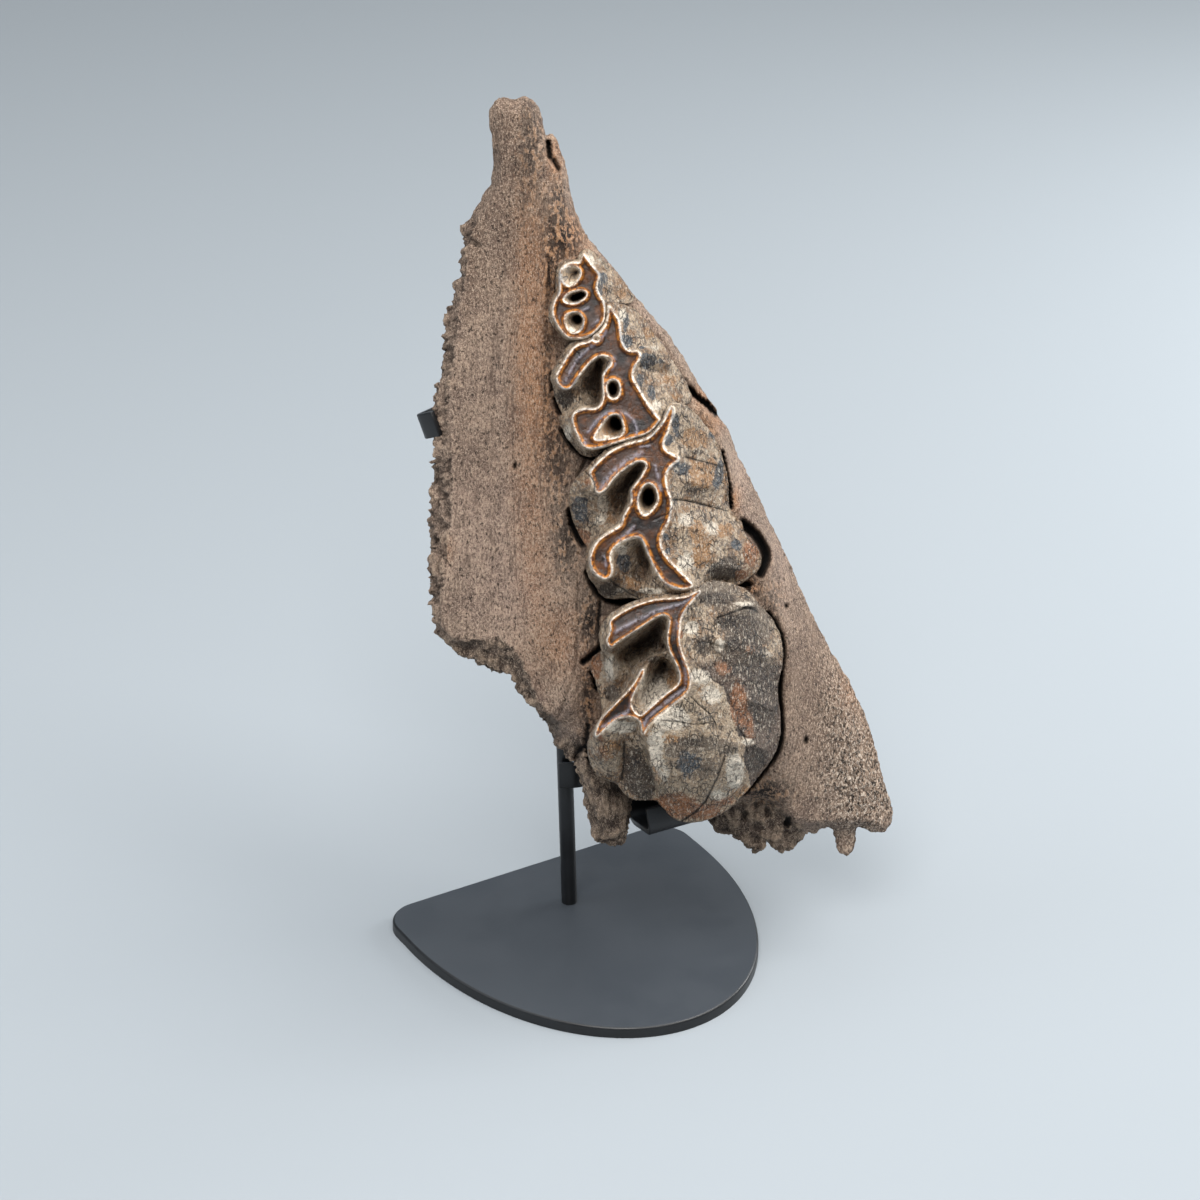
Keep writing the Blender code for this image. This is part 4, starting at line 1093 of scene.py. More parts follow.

# %% [markdown]
# ### Gaps, cracks and holes
#
# Round the teeth the sockets have opened to gaps, painted near black later as painted shade. A few
# cracks cross the bone, small holes let nerves and vessels through, and a thin flake stands off
# the outer edge.

# %% Gaps and holes of the bone
# Each line: its points, half width in pixels, depth in millimetres
BONE_GAPS = [
    ([(571, 511), (573, 524), (578, 535), (583, 543)], 3.2, 7),
    ([(589, 573), (594, 585), (603, 597), (618, 601), (634, 600)], 3.6, 7.5),
    ([(583, 662), (590, 657), (600, 648)], 2.4, 6), ([(592, 672), (597, 690)], 1.7, 5),
    ([(722, 452), (726, 472), (729, 490), (731, 508)], 1.6, 5),
    ([(743, 524), (752, 531), (760, 541), (766, 552), (765, 563), (760, 573)], 4.2, 9),
    ([(722, 582), (735, 587), (748, 584)], 2.2, 5),
    ([(768, 613), (777, 624), (783, 640), (784, 655), (782, 668)], 1.7, 6),
    ([(780, 672), (778, 690), (780, 712), (781, 735), (777, 752), (768, 764), (756, 778), (744, 791)],
     2.8, 9),
    ([(557, 268), (556, 292)], 0.9, 2), ([(556, 398), (560, 412)], 2.2, 6),
    ([(562, 430), (571, 446), (583, 456), (598, 458), (600, 468)], 1.9, 4.5),
    ([(551, 372), (552, 390)], 1.2, 3), ([(585, 462), (577, 476)], 1.4, 2),
    ([(600, 602), (598, 625), (600, 645)], 1.2, 2.5),
    ([(548, 142), (550, 157)], 2, 6), ([(553, 160), (558, 169)], 1.6, 4),
    ([(577, 635), (577, 660), (571, 684), (563, 705), (558, 718)], 1, 0.9),
    ([(577, 560), (578, 600), (577, 635)], 0.9, 0.3), ([(549, 258), (549, 290)], 1, 1.4),
    ([(586, 745), (577, 752), (575, 760)], 2.2, 3.5), ([(589, 760), (586, 747), (588, 725)], 1.8, 3),
    ([(440, 560), (437, 572), (444, 574)], 1.2, 1), ([(470, 240), (478, 246)], 2.4, 1.2)]
FLAKE_SLIT = [(689, 388), (697, 397), (706, 404), (716, 414)]
FLAKE_SLIT_WIDTH = 2.6
FLAKE_SLIT_DEPTH_MM = 8.0
# Each hole: x, y, half width, half height, depth in millimetres
BONE_HOLES = [(515, 466, 1.8, 3.6, 3), (512, 334, 1.6, 1.8, 1.5), (786, 606, 2.2, 2.8, 2.5),
    (806, 740, 2.2, 3.8, 3), (548, 720, 1.5, 1.5, 1), (766, 812, 3, 4, 2), (788, 822, 3, 5, 2.5),
    (745, 815, 3, 5, 2)]
print(len(BONE_GAPS), "gaps and cracks,", len(BONE_HOLES), "holes")

# %% [markdown]
# ### The hidden side
#
# The far side shows in other views, so it needs a shape too. The palate is a plate about 12 mm
# thick. Behind the teeth the bone is deep, because their roots sit there, and the outer wall is
# a thin flange again. The lines are written in the jaw's u, v and w. The values after them say
# how thick the bone is at its edge.

# %% Guides of the back
BONE_BACK = [
    [(-24, 136, -12), (-25, 120, -14), (-32, 105, -17), (-35, 88, -18.5), (-36, 60, -19), (-34, 30, -19),
     (-32, 0, -19), (-28, -15, -19), (-17, -30, -19), (-9, -42, -19)],
    [(-31, 105, -15.5), (-38, 80, -16.5), (-41.5, 50, -17.5), (-43.5, 10, -17.5), (-41, -9, -17.5)],
    [(-18, 105, -18), (-17, 85, -19.5), (-15, 65, -20), (-12, 45, -21), (-9, 20, -21), (-6, -10, -21.5),
     (-6, -35, -22)],
    [(-20, 120, -15), (-12.4, 105, -19), (-8, 85, -26), (-2, 65, -32), (2.4, 45, -38), (7.4, 20, -43),
     (12.5, -10, -46), (13, -38, -45), (14, -50, -38)],
    [(-12, 118, -14), (-4, 104, -19), (10, 85, -25), (27, 65, -30), (35, 45, -36), (45, 20, -42),
     (54, -10, -46), (57, -38, -45), (56, -52, -38)],
    [(36.5, 45, -27.5), (47, 20, -31), (57.5, -10, -34.5), (64, -38, -36), (66, -60, -34)],
    [(44, 20, -27), (55, 0, -31), (64, -20, -34), (75, -40, -35.5), (80, -62, -35)],
    [(20, -56, -40), (34, -62, -40), (50, -68, -40)], [(4, -58, -25), (4, -72, -24)],
    [(73.5, -72, -33), (73.3, -80, -32)]]
PALATE_EDGE_MM = 6.0
FLANGE_EDGE_MM = 4.0
PILLAR_EDGE_MM = 9.0
INNER_WALL_EDGE_MM = 10.0


def back_edge_height(x, y):
    """Height of the back's edge: the front's edge, less the wall between them."""
    wall = np.where(x > MIDDLE_X, FLANGE_EDGE_MM, PALATE_EDGE_MM)
    wall = np.where(on_pillar(x, y), PILLAR_EDGE_MM, wall)
    wall = np.where(on_inner_wall(x, y), INNER_WALL_EDGE_MM, wall)
    return edge_height(x, y) - wall


def as_line(outline, heights):
    closed = np.vstack([outline, outline[:1]])
    return np.column_stack([closed, heights(*closed.T)])


def seen_line(line):
    places = [jaw_to_world(*point) for point in line]
    x, y = pixel_of(places)
    return np.column_stack([x, y, [point[2] for point in line]])


front_skin = Skin([as_line(bone_outline, edge_height)] + BONE_GUIDES, 2.0, soft=3)
back_skin = Skin([as_line(bone_outline, back_edge_height)] + [seen_line(line) for line in BONE_BACK],
                 2.0, soft=4)
print("front skin from", round(float(front_skin.height.min())), "to",
      round(float(front_skin.height.max())), "mm")

# %% [markdown]
# ### Carving the bone
#
# Large forms come from the skin. Into them go the things a hand would carve: the sockets of the
# teeth, gaps, cracks and holes. What is carved deep enough is painted near black later: painted
# shade in the hollows.

# %% Carving the bone
FULL_SHADE_DEPTH_MM = 2.5
TOOTH_OUTLINES = [smooth_line(tooth["outline"], True, 1)[:, :2] for tooth in TEETH.values()]


def bone_carving(x, y):
    """Depth carved into the front, and the masks for the finish."""
    socket = np.zeros(x.shape)
    beside_teeth = np.full(x.shape, 1e9)
    for outline in TOOTH_OUTLINES:
        near = (x > outline[:, 0].min() - 30) & (x < outline[:, 0].max() + 30)
        near &= (y > outline[:, 1].min() - 30) & (y < outline[:, 1].max() + 30)
        away = line_distance(x[near], y[near], outline, True)
        inside = is_inside(x[near], y[near], outline)
        socket[near] = np.maximum(socket[near], np.where(inside, step(0.2, 1.8, away), 0))
        beside_teeth[near] = np.minimum(beside_teeth[near], np.where(inside, 0, away))
    gap = np.zeros(x.shape)
    # Deep gaps, the slit and the holes are later painted near black: painted shade in the hollows.
    hollow_shade = np.zeros(x.shape)
    for line, width, depth in BONE_GAPS:
        away = line_distance(x, y, smooth_line(line, rounds=1))
        near = 1 - step(width * 0.55, width * 1.5, away)
        gap = np.maximum(gap, depth * near)
        hollow_shade = np.maximum(hollow_shade, near * min(depth / FULL_SHADE_DEPTH_MM, 1))
    away = line_distance(x, y, FLAKE_SLIT)
    near = 1 - step(FLAKE_SLIT_WIDTH * 0.7, FLAKE_SLIT_WIDTH * 1.25, away)
    gap = np.maximum(gap, FLAKE_SLIT_DEPTH_MM * near)
    hollow_shade = np.maximum(hollow_shade, near)
    for px, py, wide, tall, depth in BONE_HOLES:
        near = np.exp(-(((x - px) / wide) ** 2 + ((y - py) / tall) ** 2) ** 2)
        gap = np.maximum(gap, depth * near)
        hollow_shade = np.maximum(hollow_shade, near * min(depth / FULL_SHADE_DEPTH_MM, 1))
    return socket, beside_teeth, gap, hollow_shade


def bone_front(x, y):
    socket, _, gap, _ = bone_carving(x, y)
    w = front_skin.at(x, y) - gap
    return w * (1 - socket) + np.minimum(w, SOCKET_FLOOR_W) * socket


print(len(TOOTH_OUTLINES), "sockets to carve")

# %% [markdown]
# ### Zones of the bone
#
# Soft zones say where the bone is spongy, coarse, broken or stained. The shape and the finish
# both read them.

# %% Zones of the bone
# Each blot: x, y, half width, half height, strength
BONE_BLOTS = {
    "spongy": [(564, 236, 20, 26, 1), (558, 200, 8, 30, .7), (552, 270, 9, 40, .75), (549, 330, 6, 50, .5),
        (548, 400, 7, 50, .6), (556, 460, 14, 40, .75), (566, 540, 14, 40, .8), (590, 620, 12, 26, .95),
        (588, 700, 8, 40, .9), (752, 590, 12, 12, 1), (728, 500, 6, 20, .9), (706, 432, 10, 14, .8),
        (765, 792, 24, 14, 1), (532, 150, 14, 60, .6), (775, 600, 8, 20, .6)],
    "coarse": [(855, 775, 30, 60, 1), (838, 700, 16, 40, .5), (870, 800, 30, 30, .9)],
    "orange": [(530, 250, 14, 60, .6), (526, 340, 14, 70, .6), (535, 560, 18, 70, .45),
        (560, 640, 20, 40, .5), (548, 290, 12, 50, .7), (540, 400, 22, 70, .75), (525, 480, 16, 60, .3),
        (572, 236, 20, 24, .8), (748, 588, 10, 10, .8), (735, 500, 5, 12, .9), (712, 420, 14, 16, .7),
        (555, 160, 8, 22, .8), (850, 690, 12, 30, .5), (590, 690, 8, 30, .35), (446, 550, 8, 12, .5),
        (770, 400, 20, 20, .3), (700, 395, 10, 14, .6)],
    "pink": [(640, 310, 30, 40, .5), (740, 470, 12, 60, .6), (780, 560, 16, 60, .6), (480, 520, 40, 60, .8),
        (512, 600, 40, 60, .7), (490, 380, 24, 60, .3), (575, 215, 8, 30, .8)],
    "brown": [(505, 140, 24, 70, 1), (470, 245, 26, 66, 1), (505, 240, 16, 40, .6), (520, 200, 20, 60, .4),
        (575, 200, 6, 50, .5), (480, 480, 30, 60, .3), (800, 650, 26, 90, .6), (835, 700, 40, 70, .85),
        (700, 380, 30, 50, .3), (755, 520, 16, 80, .5), (825, 700, 26, 50, .4)],
    "warm": [(870, 740, 12, 60, .6), (545, 640, 20, 30, .4), (585, 330, 6, 60, .3)],
}
BACK_SPONGINESS = 0.22
LEFT_OF_SUTURE = [(545, 780), (380, 780), (380, 108)]


def bone_zones(x, y, w, front, beside_teeth):
    """Soft zones from 0 to 1; the stains lie on the front only."""
    zones = {name: spots(x, y, blots) for name, blots in BONE_BLOTS.items()}
    for stain_and_painted_light in ("orange", "pink", "brown", "warm"):
        zones[stain_and_painted_light] = zones[stain_and_painted_light] * front
    zones["spongy"] = np.where(front, zones["spongy"] * step(0, 4, beside_teeth), BACK_SPONGINESS)
    left_of_palate = is_inside(x, y, [point[:2] for point in PALATE_EDGE] + LEFT_OF_SUTURE)
    zones["suture"] = np.where(front, left_of_palate, step(560, 540, x)) * step(205, 240, y)
    zones["lower_wall"] = step(780, 790, y) * step(640, 650, x) * step(806, 800, x) * (w < -20)
    zones["pillar"] = step(725, 750, y) * step(640, 630, x)
    return zones


print("zones of blots:", ", ".join(BONE_BLOTS))

# %% [markdown]
# ### Surface of the bone
#
# Last comes the grain that fingers would feel: fibres, lumps, the comb of the suture, pores and
# splinters. It moves the points along their normals, apart from those in the sockets.

# %% Surface of the bone
def bone_grain(x, y, places, front, zones):
    """How far every point moves outwards, in millimetres."""
    suture, lower_wall, pillar = zones["suture"], zones["lower_wall"], zones["pillar"]
    rugged_zone = np.clip(suture + lower_wall + pillar + np.where(front, 0, 0.35), 0, 1)
    comb = np.array([noise.noise((px / 9.0, (py + 0.45 * px) / 2.9, 2.0))
                     for px, py in zip(x.tolist(), y.tolist())])
    fibre = rough(places, 1.1, (1.0, 0.16, 1.0), 3)
    lumps = rough(places, 4.5, octaves=3, shift=3)
    cells = np.abs(rough(places, 1.5, (1.0, 0.7, 1.0), 2, shift=9))
    grain = 0.10 * fibre + 0.28 * lumps * (1 - 0.6 * (front & (rugged_zone < 0.1)))
    grain += suture * step(625, 610, y) * (0.95 * comb - 0.2)
    grain += rugged_zone * (0.5 * lumps + 0.45 * fibre)
    pores = zones["spongy"] * 0.55 * step(0.25, 0.05, cells)
    grain -= pores + zones["coarse"] * 0.55 * step(0.22, 0.04, cells)
    grain += pillar * 0.5 * rough(places, 1.8, (1.0, 0.12, 1.0), 2, shift=5)
    grain += lower_wall * 0.8 * rough(places, 2.2, (1.0, 0.18, 1.0), 2, shift=6)
    return grain


def make_bone():
    x, y, w, faces, part = closed_relief(bone_outline, BONE_SPACING_PIXELS, bone_front, back_skin.at,
                                         BONE_BACK_SPACING_PIXELS, BONE_WALL_SPACING_MM)
    front = part == 0
    socket, beside_teeth, _, hollow_shade = bone_carving(x, y)
    zones = bone_zones(x, y, w, front, beside_teeth)
    places = on_jaw(x, y, w)
    grain = bone_grain(x, y, places, front, zones)
    places = places + normals_of(places, faces) * (grain * (1 - socket))[:, None]
    # The broken end and the low wall behind it are painted dark: partly the dark of the break, partly
    # painted shade on this underside.
    lower_break = step(632, 645, y) * zones["suture"]
    broken = np.clip(lower_break + zones.pop("lower_wall") + zones.pop("pillar"), 0, 1)
    # The last masks carry painted light and shade: near black in the hollows, darker in sunk grain, lighter
    # on raised grain.
    masks = {**zones, "hollow_shade": hollow_shade * (part < 2), "broken": broken,
             "sunk_shade": np.clip(-grain / 0.75 - 0.14, 0, 1), "raised_highlight": np.clip(grain / 0.6, 0, 1)}
    piece = make_mesh("maxilla_bone_fossil", places, faces, masks)
    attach(piece, "root")
    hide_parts("maxilla_bone")
    print(piece.name, len(faces), "triangles")
    return piece


bone = make_bone()

# %% [markdown]
# ### Finish of the teeth
#
# The outer walls are tan with pale, grey, blue, rust and dark patches, a fine grit and a dark
# crackle. On the molar some grey and dark patches are painted shade of its relief, and a pale
# streak on its crest is a painted highlight. Patches have ragged edges: a mask is shifted by noise
# and then cut to a narrow step. Over them lie the colours of the worn surface: pale enamel, the
# amber line, the dark dentine with its lilac bands, partly their own tint and partly a painted
# sheen, near black in the pits, which is painted shade, and near black in the cracks, partly their
# own dark and partly painted shade in the grooves.

# %% Tooth finish
def ragged(tree, mask, noise_value, reach=1.2, low=0.34, high=0.50):
    """A soft mask turned into a patch with a ragged edge."""
    moved = combine(tree, "MULTIPLY_ADD", combine(tree, "SUBTRACT", noise_value, 0.5), reach, mask)
    return between(tree, moved, low, high)


def crackle(tree, where, scale, width):
    """Thin lines of a net of cracks."""
    net = add_node(tree, "ShaderNodeTexVoronoi", {"feature": "DISTANCE_TO_EDGE"}, Vector=where, Scale=scale)
    return between(tree, net.outputs["Distance"], 0.0, width, 1.0, 0.0)


def tooth_finish():
    material, tree, shader = new_finish("fossil_enamel_and_dentine")
    place = jaw_coordinates(tree)
    along = jaw_coordinates(tree, (1, 0.4, 0.22))
    drift = cloud(tree, place, 170, 4, 0.6)
    cool = cloud(tree, place, 240, 5, 0.65)
    fine = cloud(tree, place, 800, 5, 0.7)
    streak = cloud(tree, along, 1700, 4, 0.7)
    grit = cloud(tree, place, 2300, 3, 0.7)
    free = mask_of(tree, "free")

    colour = lay_over(tree, "#b39d84", "#8a6b4e", between(tree, drift, 0.44, 0.6))
    colour = lay_over(tree, colour, "#6a6c6c", between(tree, fine, 0.50, 0.58, 0, 0.6))
    colour = lay_over(tree, colour, "#5a493f", mask_of(tree, "bare"))
    colour = tint(tree, colour, "#a8957d", "layer", 0.6)
    # Colour patches from the blots: mostly stains, but on the molar some grey and dark ones are painted
    # shade and a pale one a painted highlight.
    for mask, code, share, noise_value in (
            ("tan", "#a0774e", 0.9, drift), ("grey", "#5f554b", 0.75, fine),
            ("blue", "#3c4751", 0.95, cool), ("dark", "#2e231d", 0.9, fine),
            ("rust", "#935c34", 0.9, fine), ("pale", "#e6dac8", 0.95, fine)):
        stain_and_painted_light = ragged(tree, mask_of(tree, mask), noise_value)
        colour = lay_over(tree, colour, code, times(tree, stain_and_painted_light, share))
    for code, low, high in (("#e3d5c1", 0.54, 0.66), ("#2f2620", 0.47, 0.35)):
        grains = times(tree, between(tree, grit, low, high, 0, 0.45), free)
        colour = lay_over(tree, colour, code, grains)
    mottle = between(tree, fine, 0.48, 0.60, 0, 0.6)
    colour = lay_over(tree, colour, "#6a5a4c", times(tree, mottle, free))
    glint = between(tree, streak, 0.54, 0.66, 0, 0.6)
    colour = lay_over(tree, colour, "#e0d3c0", times(tree, glint, free))
    lines = times(tree, crackle(tree, along, 900, 0.09), between(tree, cool, 0.46, 0.56))
    colour = lay_over(tree, colour, "#2c2a2b", times(tree, lines, 0.8))
    speckle = between(tree, streak, 0.39, 0.30, 0, 0.85)
    colour = lay_over(tree, colour, "#2b231f", times(tree, speckle, free))
    colour = tint(tree, colour, "#2b211c", "rim", 0.8)
    colour = tint(tree, colour, "#3d2e25", "deep", 0.62)
    colour = tint(tree, colour, "#5d4836", "wall", 0.38)

    enamel = lay_over(tree, "#f2e8da", "#8f7358", between(tree, fine, 0.46, 0.60))
    enamel = lay_over(tree, enamel, "#7d858c", between(tree, cool, 0.52, 0.6, 0, 0.6))
    colour = tint(tree, colour, enamel, "enamel", 0.9)
    dentine = lay_over(tree, "#3c2517", "#1a1311", between(tree, drift, 0.40, 0.60))
    dentine = lay_over(tree, dentine, "#7a4a26", between(tree, cool, 0.46, 0.74, 0, 0.7))
    dentine = lay_over(tree, dentine, "#1d1513", between(tree, streak, 0.44, 0.34, 0, 0.6))
    colour = lay_over(tree, colour, dentine, mask_of(tree, "dentine"))
    amber = lay_over(tree, "#bf7a30", "#5a3119", between(tree, fine, 0.44, 0.56))
    colour = tint(tree, colour, amber, "amber", 0.95)
    # Lilac bands on the dentine: partly their own tint, partly a painted sheen.
    lilac_tint_and_sheen = times(tree, mask_of(tree, "lilac"), between(tree, fine, 0.40, 0.56, 0.1, 0.65))
    colour = lay_over(tree, colour, "#9d97a0", lilac_tint_and_sheen)
    # Pits are painted near black, more so the deeper they go: painted shade in the hollows.
    colour = lay_over(tree, colour, "#15100d", mask_of(tree, "pit"))
    # Cracks go near black: partly their own dark, partly painted shade in the grooves and in the contact
    # gaps between teeth.
    colour = lay_over(tree, colour, "#100c0a", mask_of(tree, "crack_shade"))
    link_or_set(tree, colour, shader.inputs["Base Color"])

    roughness = between(tree, fine, 0.3, 0.7, 0.25, 0.42)
    roughness = combine(tree, "MULTIPLY_ADD", free, 0.22, roughness)
    link_or_set(tree, roughness, shader.inputs["Roughness"])
    shader.inputs["Specular IOR Level"].default_value = 0.38
    height = combine(tree, "MULTIPLY_ADD", grit, 0.6, fine)
    height = combine(tree, "MULTIPLY_ADD", lines, -0.7, height)
    bump = add_node(tree, "ShaderNodeBump", None, Height=height, Distance=0.0012,
                    Strength=combine(tree, "MULTIPLY_ADD", free, 0.7, 0.2))
    link_or_set(tree, bump.outputs["Normal"], shader.inputs["Normal"])
    return material


tooth_material = tooth_finish()
for piece in teeth:
    piece.data.materials.append(tooth_material)
print("finish on", len(teeth), "teeth")

# %% [markdown]
# ### Finish of the bone
#
# Old bone is matt and full of fine pores, some drawn out along its grain. The ground colour is a
# grey taupe, dusted with light and dark grains less than a millimetre wide. Near the teeth it
# turns orange-brown and spongy, along the outer edge and low on the palate pinkish, and on
# broken faces dark, partly their own colour and partly painted shade on the broken underside.
# Sunk grain is painted darker, as painted shade, and raised grain lighter, as a painted highlight.
# Gaps and holes go to near black, which is painted shade.

# %% Bone finish
def bone_finish():
    material, tree, shader = new_finish("fossil_bone")
    place = jaw_coordinates(tree)
    along = jaw_coordinates(tree, (1, 0.55, 1))
    long_grain = jaw_coordinates(tree, (1, 0.12, 1))
    drift = cloud(tree, place, 70, 4)
    patch = cloud(tree, place, 260, 4)
    grain = cloud(tree, along, 1900, 3, 0.75)
    dust = cloud(tree, place, 3200, 2, 0.6)
    pores = cloud(tree, along, 1250, 3, 0.65)
    fibre = cloud(tree, long_grain, 900, 4, 0.65)
    sponge = cloud(tree, along, 780, 3, 0.6)

    colour = lay_over(tree, "#8c7767", "#67544a", between(tree, drift, 0.38, 0.60))
    colour = lay_over(tree, colour, "#a08875", between(tree, patch, 0.48, 0.64, 0, 0.8))
    # broken is partly the colour of the breaks and partly painted shade on the underside.
    for mask, code, share in (("pink", "#ac9384", 0.8), ("warm", "#a88262", 0.8), ("brown", "#5a4538", 0.9),
                              ("orange", "#a66e40", 0.9), ("suture", "#7d695b", 0.7),
                              ("coarse", "#94806e", 0.6), ("broken", "#231b16", 0.88)):
        strength = times(tree, mask_of(tree, mask), between(tree, patch, 0.3, 0.6, 0.6, 1.0))
        colour = lay_over(tree, colour, code, times(tree, strength, share))
    colour = lay_over(tree, colour, "#c3ab95", between(tree, grain, 0.50, 0.64, 0, 0.58))
    colour = lay_over(tree, colour, "#4b3b31", between(tree, grain, 0.50, 0.38, 0, 0.68))
    colour = lay_over(tree, colour, "#d6c1ab", between(tree, dust, 0.54, 0.66, 0, 0.45))
    colour = lay_over(tree, colour, "#54443a", between(tree, fibre, 0.54, 0.68, 0, 0.6))
    colour = lay_over(tree, colour, "#241a15", between(tree, pores, 0.60, 0.66, 0, 0.8))
    holes = times(tree, between(tree, sponge, 0.48, 0.53), mask_of(tree, "spongy"))
    specks = times(tree, between(tree, pores, 0.52, 0.58), mask_of(tree, "coarse"))
    holes = combine(tree, "MAXIMUM", holes, specks)
    rims = times(tree, between(tree, sponge, 0.48, 0.40), mask_of(tree, "spongy"))
    colour = lay_over(tree, colour, "#b58a63", times(tree, rims, 0.6))
    colour = lay_over(tree, colour, "#17100c", holes)
    salt = times(tree, between(tree, grain, 0.52, 0.60), mask_of(tree, "coarse"))
    colour = lay_over(tree, colour, "#d8c9b9", times(tree, salt, 0.8))
    # Raised grain is painted lighter, a painted highlight, and sunk grain darker, painted shade.
    colour = tint(tree, colour, "#c7ad93", "raised_highlight", 0.35)
    colour = tint(tree, colour, "#261b15", "sunk_shade", 0.8)
    # Gaps and holes go near black: painted shade in the hollows.
    colour = lay_over(tree, colour, "#0d0907", mask_of(tree, "hollow_shade"))
    link_or_set(tree, colour, shader.inputs["Base Color"])
    shader.inputs["Roughness"].default_value = 0.78
    shader.inputs["Specular IOR Level"].default_value = 0.35
    height = combine(tree, "MULTIPLY_ADD", fibre, -0.5, grain)
    height = combine(tree, "SUBTRACT", height, between(tree, pores, 0.57, 0.67, 0, 0.8))
    height = combine(tree, "SUBTRACT", height, holes)
    bump = add_node(tree, "ShaderNodeBump", None, Height=height, Strength=0.75, Distance=0.0007)
    link_or_set(tree, bump.outputs["Normal"], shader.inputs["Normal"])
    return material


bone.data.materials.append(bone_finish())
print("finish on the bone")

# %% [markdown]
# ## The stand
#
# Five pieces of black steel carry the jaw: a foot plate with a round front, a rod, two arms bent
# from flat bar, and a wide saddle hook. Each of them is drawn by hand operators from a simple
# start: the plate from a circle, the rod from a curve, the bent bars from one edge that is
# pulled out along its path. The bars then get a thickness and softly broken edges.

# %% Sizes of the stand
PLATE_HALF_WIDTH = 52.5
PLATE_BULGE_Y = 5.0
PLATE_FRONT_Y = -71.5
PLATE_BACK_Y = 24.5
PLATE_CORNER = 10.0
PLATE_THICKNESS = 3.5
PLATE_EDGE = 0.9
ROD_RADIUS = 2.4
ROD_LEAN = 0.025
ROD_BEND_HEIGHT = 82.0
ROD_BEND_REACH = 14.0
ROD_BURIED = 2.0
ROD_TOP = (-13.5, 52.0, -26.0)
print("plate", PLATE_HALF_WIDTH * 2, "x", PLATE_BACK_Y - PLATE_FRONT_Y, "mm")

# %% [markdown]
# ### Tools of the hand
#
# These helpers pick points, edges or faces by their place, as a hand would, apply a modifier, and
# settle a finished piece at the origin with its place in its mesh.

# %% Hand tools
def start_fresh():
    if bpy.context.object and bpy.context.object.mode == "EDIT":
        bpy.ops.object.mode_set(mode="OBJECT")
    bpy.ops.object.select_all(action="DESELECT")


def pick(chosen, kind="VERT"):
    """Selects the points, edges or faces that chosen(middle) says yes to, in world millimetres."""
    piece = bpy.context.object
    bpy.ops.mesh.select_mode(type=kind)
    bpy.ops.mesh.select_all(action="DESELECT")
    bpy.ops.object.mode_set(mode="OBJECT")
    mesh = piece.data
    items = {"VERT": mesh.vertices, "EDGE": mesh.edges, "FACE": mesh.polygons}[kind]
    for item in items:
        corners = [item.index] if kind == "VERT" else item.vertices
        places = [piece.matrix_world @ mesh.vertices[i].co / MM for i in corners]
        item.select = all(chosen(place) for place in places)
    bpy.ops.object.mode_set(mode="EDIT")


def apply_modifier(piece, kind, **settings):
    modifier = piece.modifiers.new(kind.lower(), kind)
    for key, value in settings.items():
        setattr(modifier, key, value)
    bpy.ops.object.modifier_apply(modifier=modifier.name)


def settle(name, node):
    """Puts the finished piece's place into its mesh, hangs it on the root body and hides its CAD node."""
    piece = bpy.context.object
    if piece.mode == "EDIT":
        bpy.ops.mesh.select_all(action="SELECT")
        bpy.ops.mesh.normals_make_consistent(inside=False)
        bpy.ops.object.mode_set(mode="OBJECT")
    bpy.ops.object.transform_apply(location=True, rotation=True, scale=True)
    bpy.ops.object.shade_smooth_by_angle(angle=math.radians(40))
    piece.name = piece.data.name = name
    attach(piece, "root")
    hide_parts(node)
    print(name, len(piece.data.polygons), "faces")
    return piece


print("hand tools ready")

# %% [markdown]
# ### Foot plate
#
# A circle loses its back half, and its front half is stretched to the long curve of the plate.
# The two ends are pulled straight back and joined. Then the corners are rounded, the face is
# pulled up to the plate's thickness, and the upper edge is bevelled.

# %% Foot plate
def make_plate():
    start_fresh()
    bpy.ops.mesh.primitive_circle_add(vertices=160, radius=PLATE_HALF_WIDTH * MM,
                                      location=(0, PLATE_BULGE_Y * MM, 0))
    bpy.ops.object.mode_set(mode="EDIT")
    pick(lambda place: place.y > PLATE_BULGE_Y + 0.01)
    bpy.ops.mesh.delete(type="VERT")
    pick(lambda place: place.y < PLATE_BULGE_Y - 0.01)
    stretch = (PLATE_BULGE_Y - PLATE_FRONT_Y) / PLATE_HALF_WIDTH
    bpy.ops.transform.resize(value=(1, stretch, 1), center_override=(0, PLATE_BULGE_Y * MM, 0))
    pick(lambda place: abs(place.x) > PLATE_HALF_WIDTH - 0.01)
    back = (0, (PLATE_BACK_Y - PLATE_BULGE_Y) * MM, 0)
    bpy.ops.mesh.extrude_region_move(TRANSFORM_OT_translate={"value": back})
    bpy.ops.mesh.edge_face_add()
    bpy.ops.mesh.select_all(action="SELECT")
    bpy.ops.mesh.edge_face_add()
    pick(lambda place: place.y > PLATE_BACK_Y - 0.01)
    bpy.ops.mesh.bevel(offset=PLATE_CORNER * MM, segments=12, affect="VERTICES")
    bpy.ops.mesh.select_all(action="SELECT")
    up = (0, 0, PLATE_THICKNESS * MM)
    bpy.ops.mesh.extrude_region_move(TRANSFORM_OT_translate={"value": up})
    pick(lambda place: place.z > PLATE_THICKNESS - 0.01, "FACE")
    bpy.ops.mesh.region_to_loop()
    bpy.ops.mesh.bevel(offset=PLATE_EDGE * MM, segments=5, affect="EDGES")
    return settle("stand_base_plate_steel", "stand_base_plate")


plate = make_plate()

# %% [markdown]
# ### Rod
#
# A rod is a curve with a round bevel. It leans to the left by a hair, bends softly behind the
# lower arm, and then follows the back of the leaning bone. The curve becomes a mesh at the end.

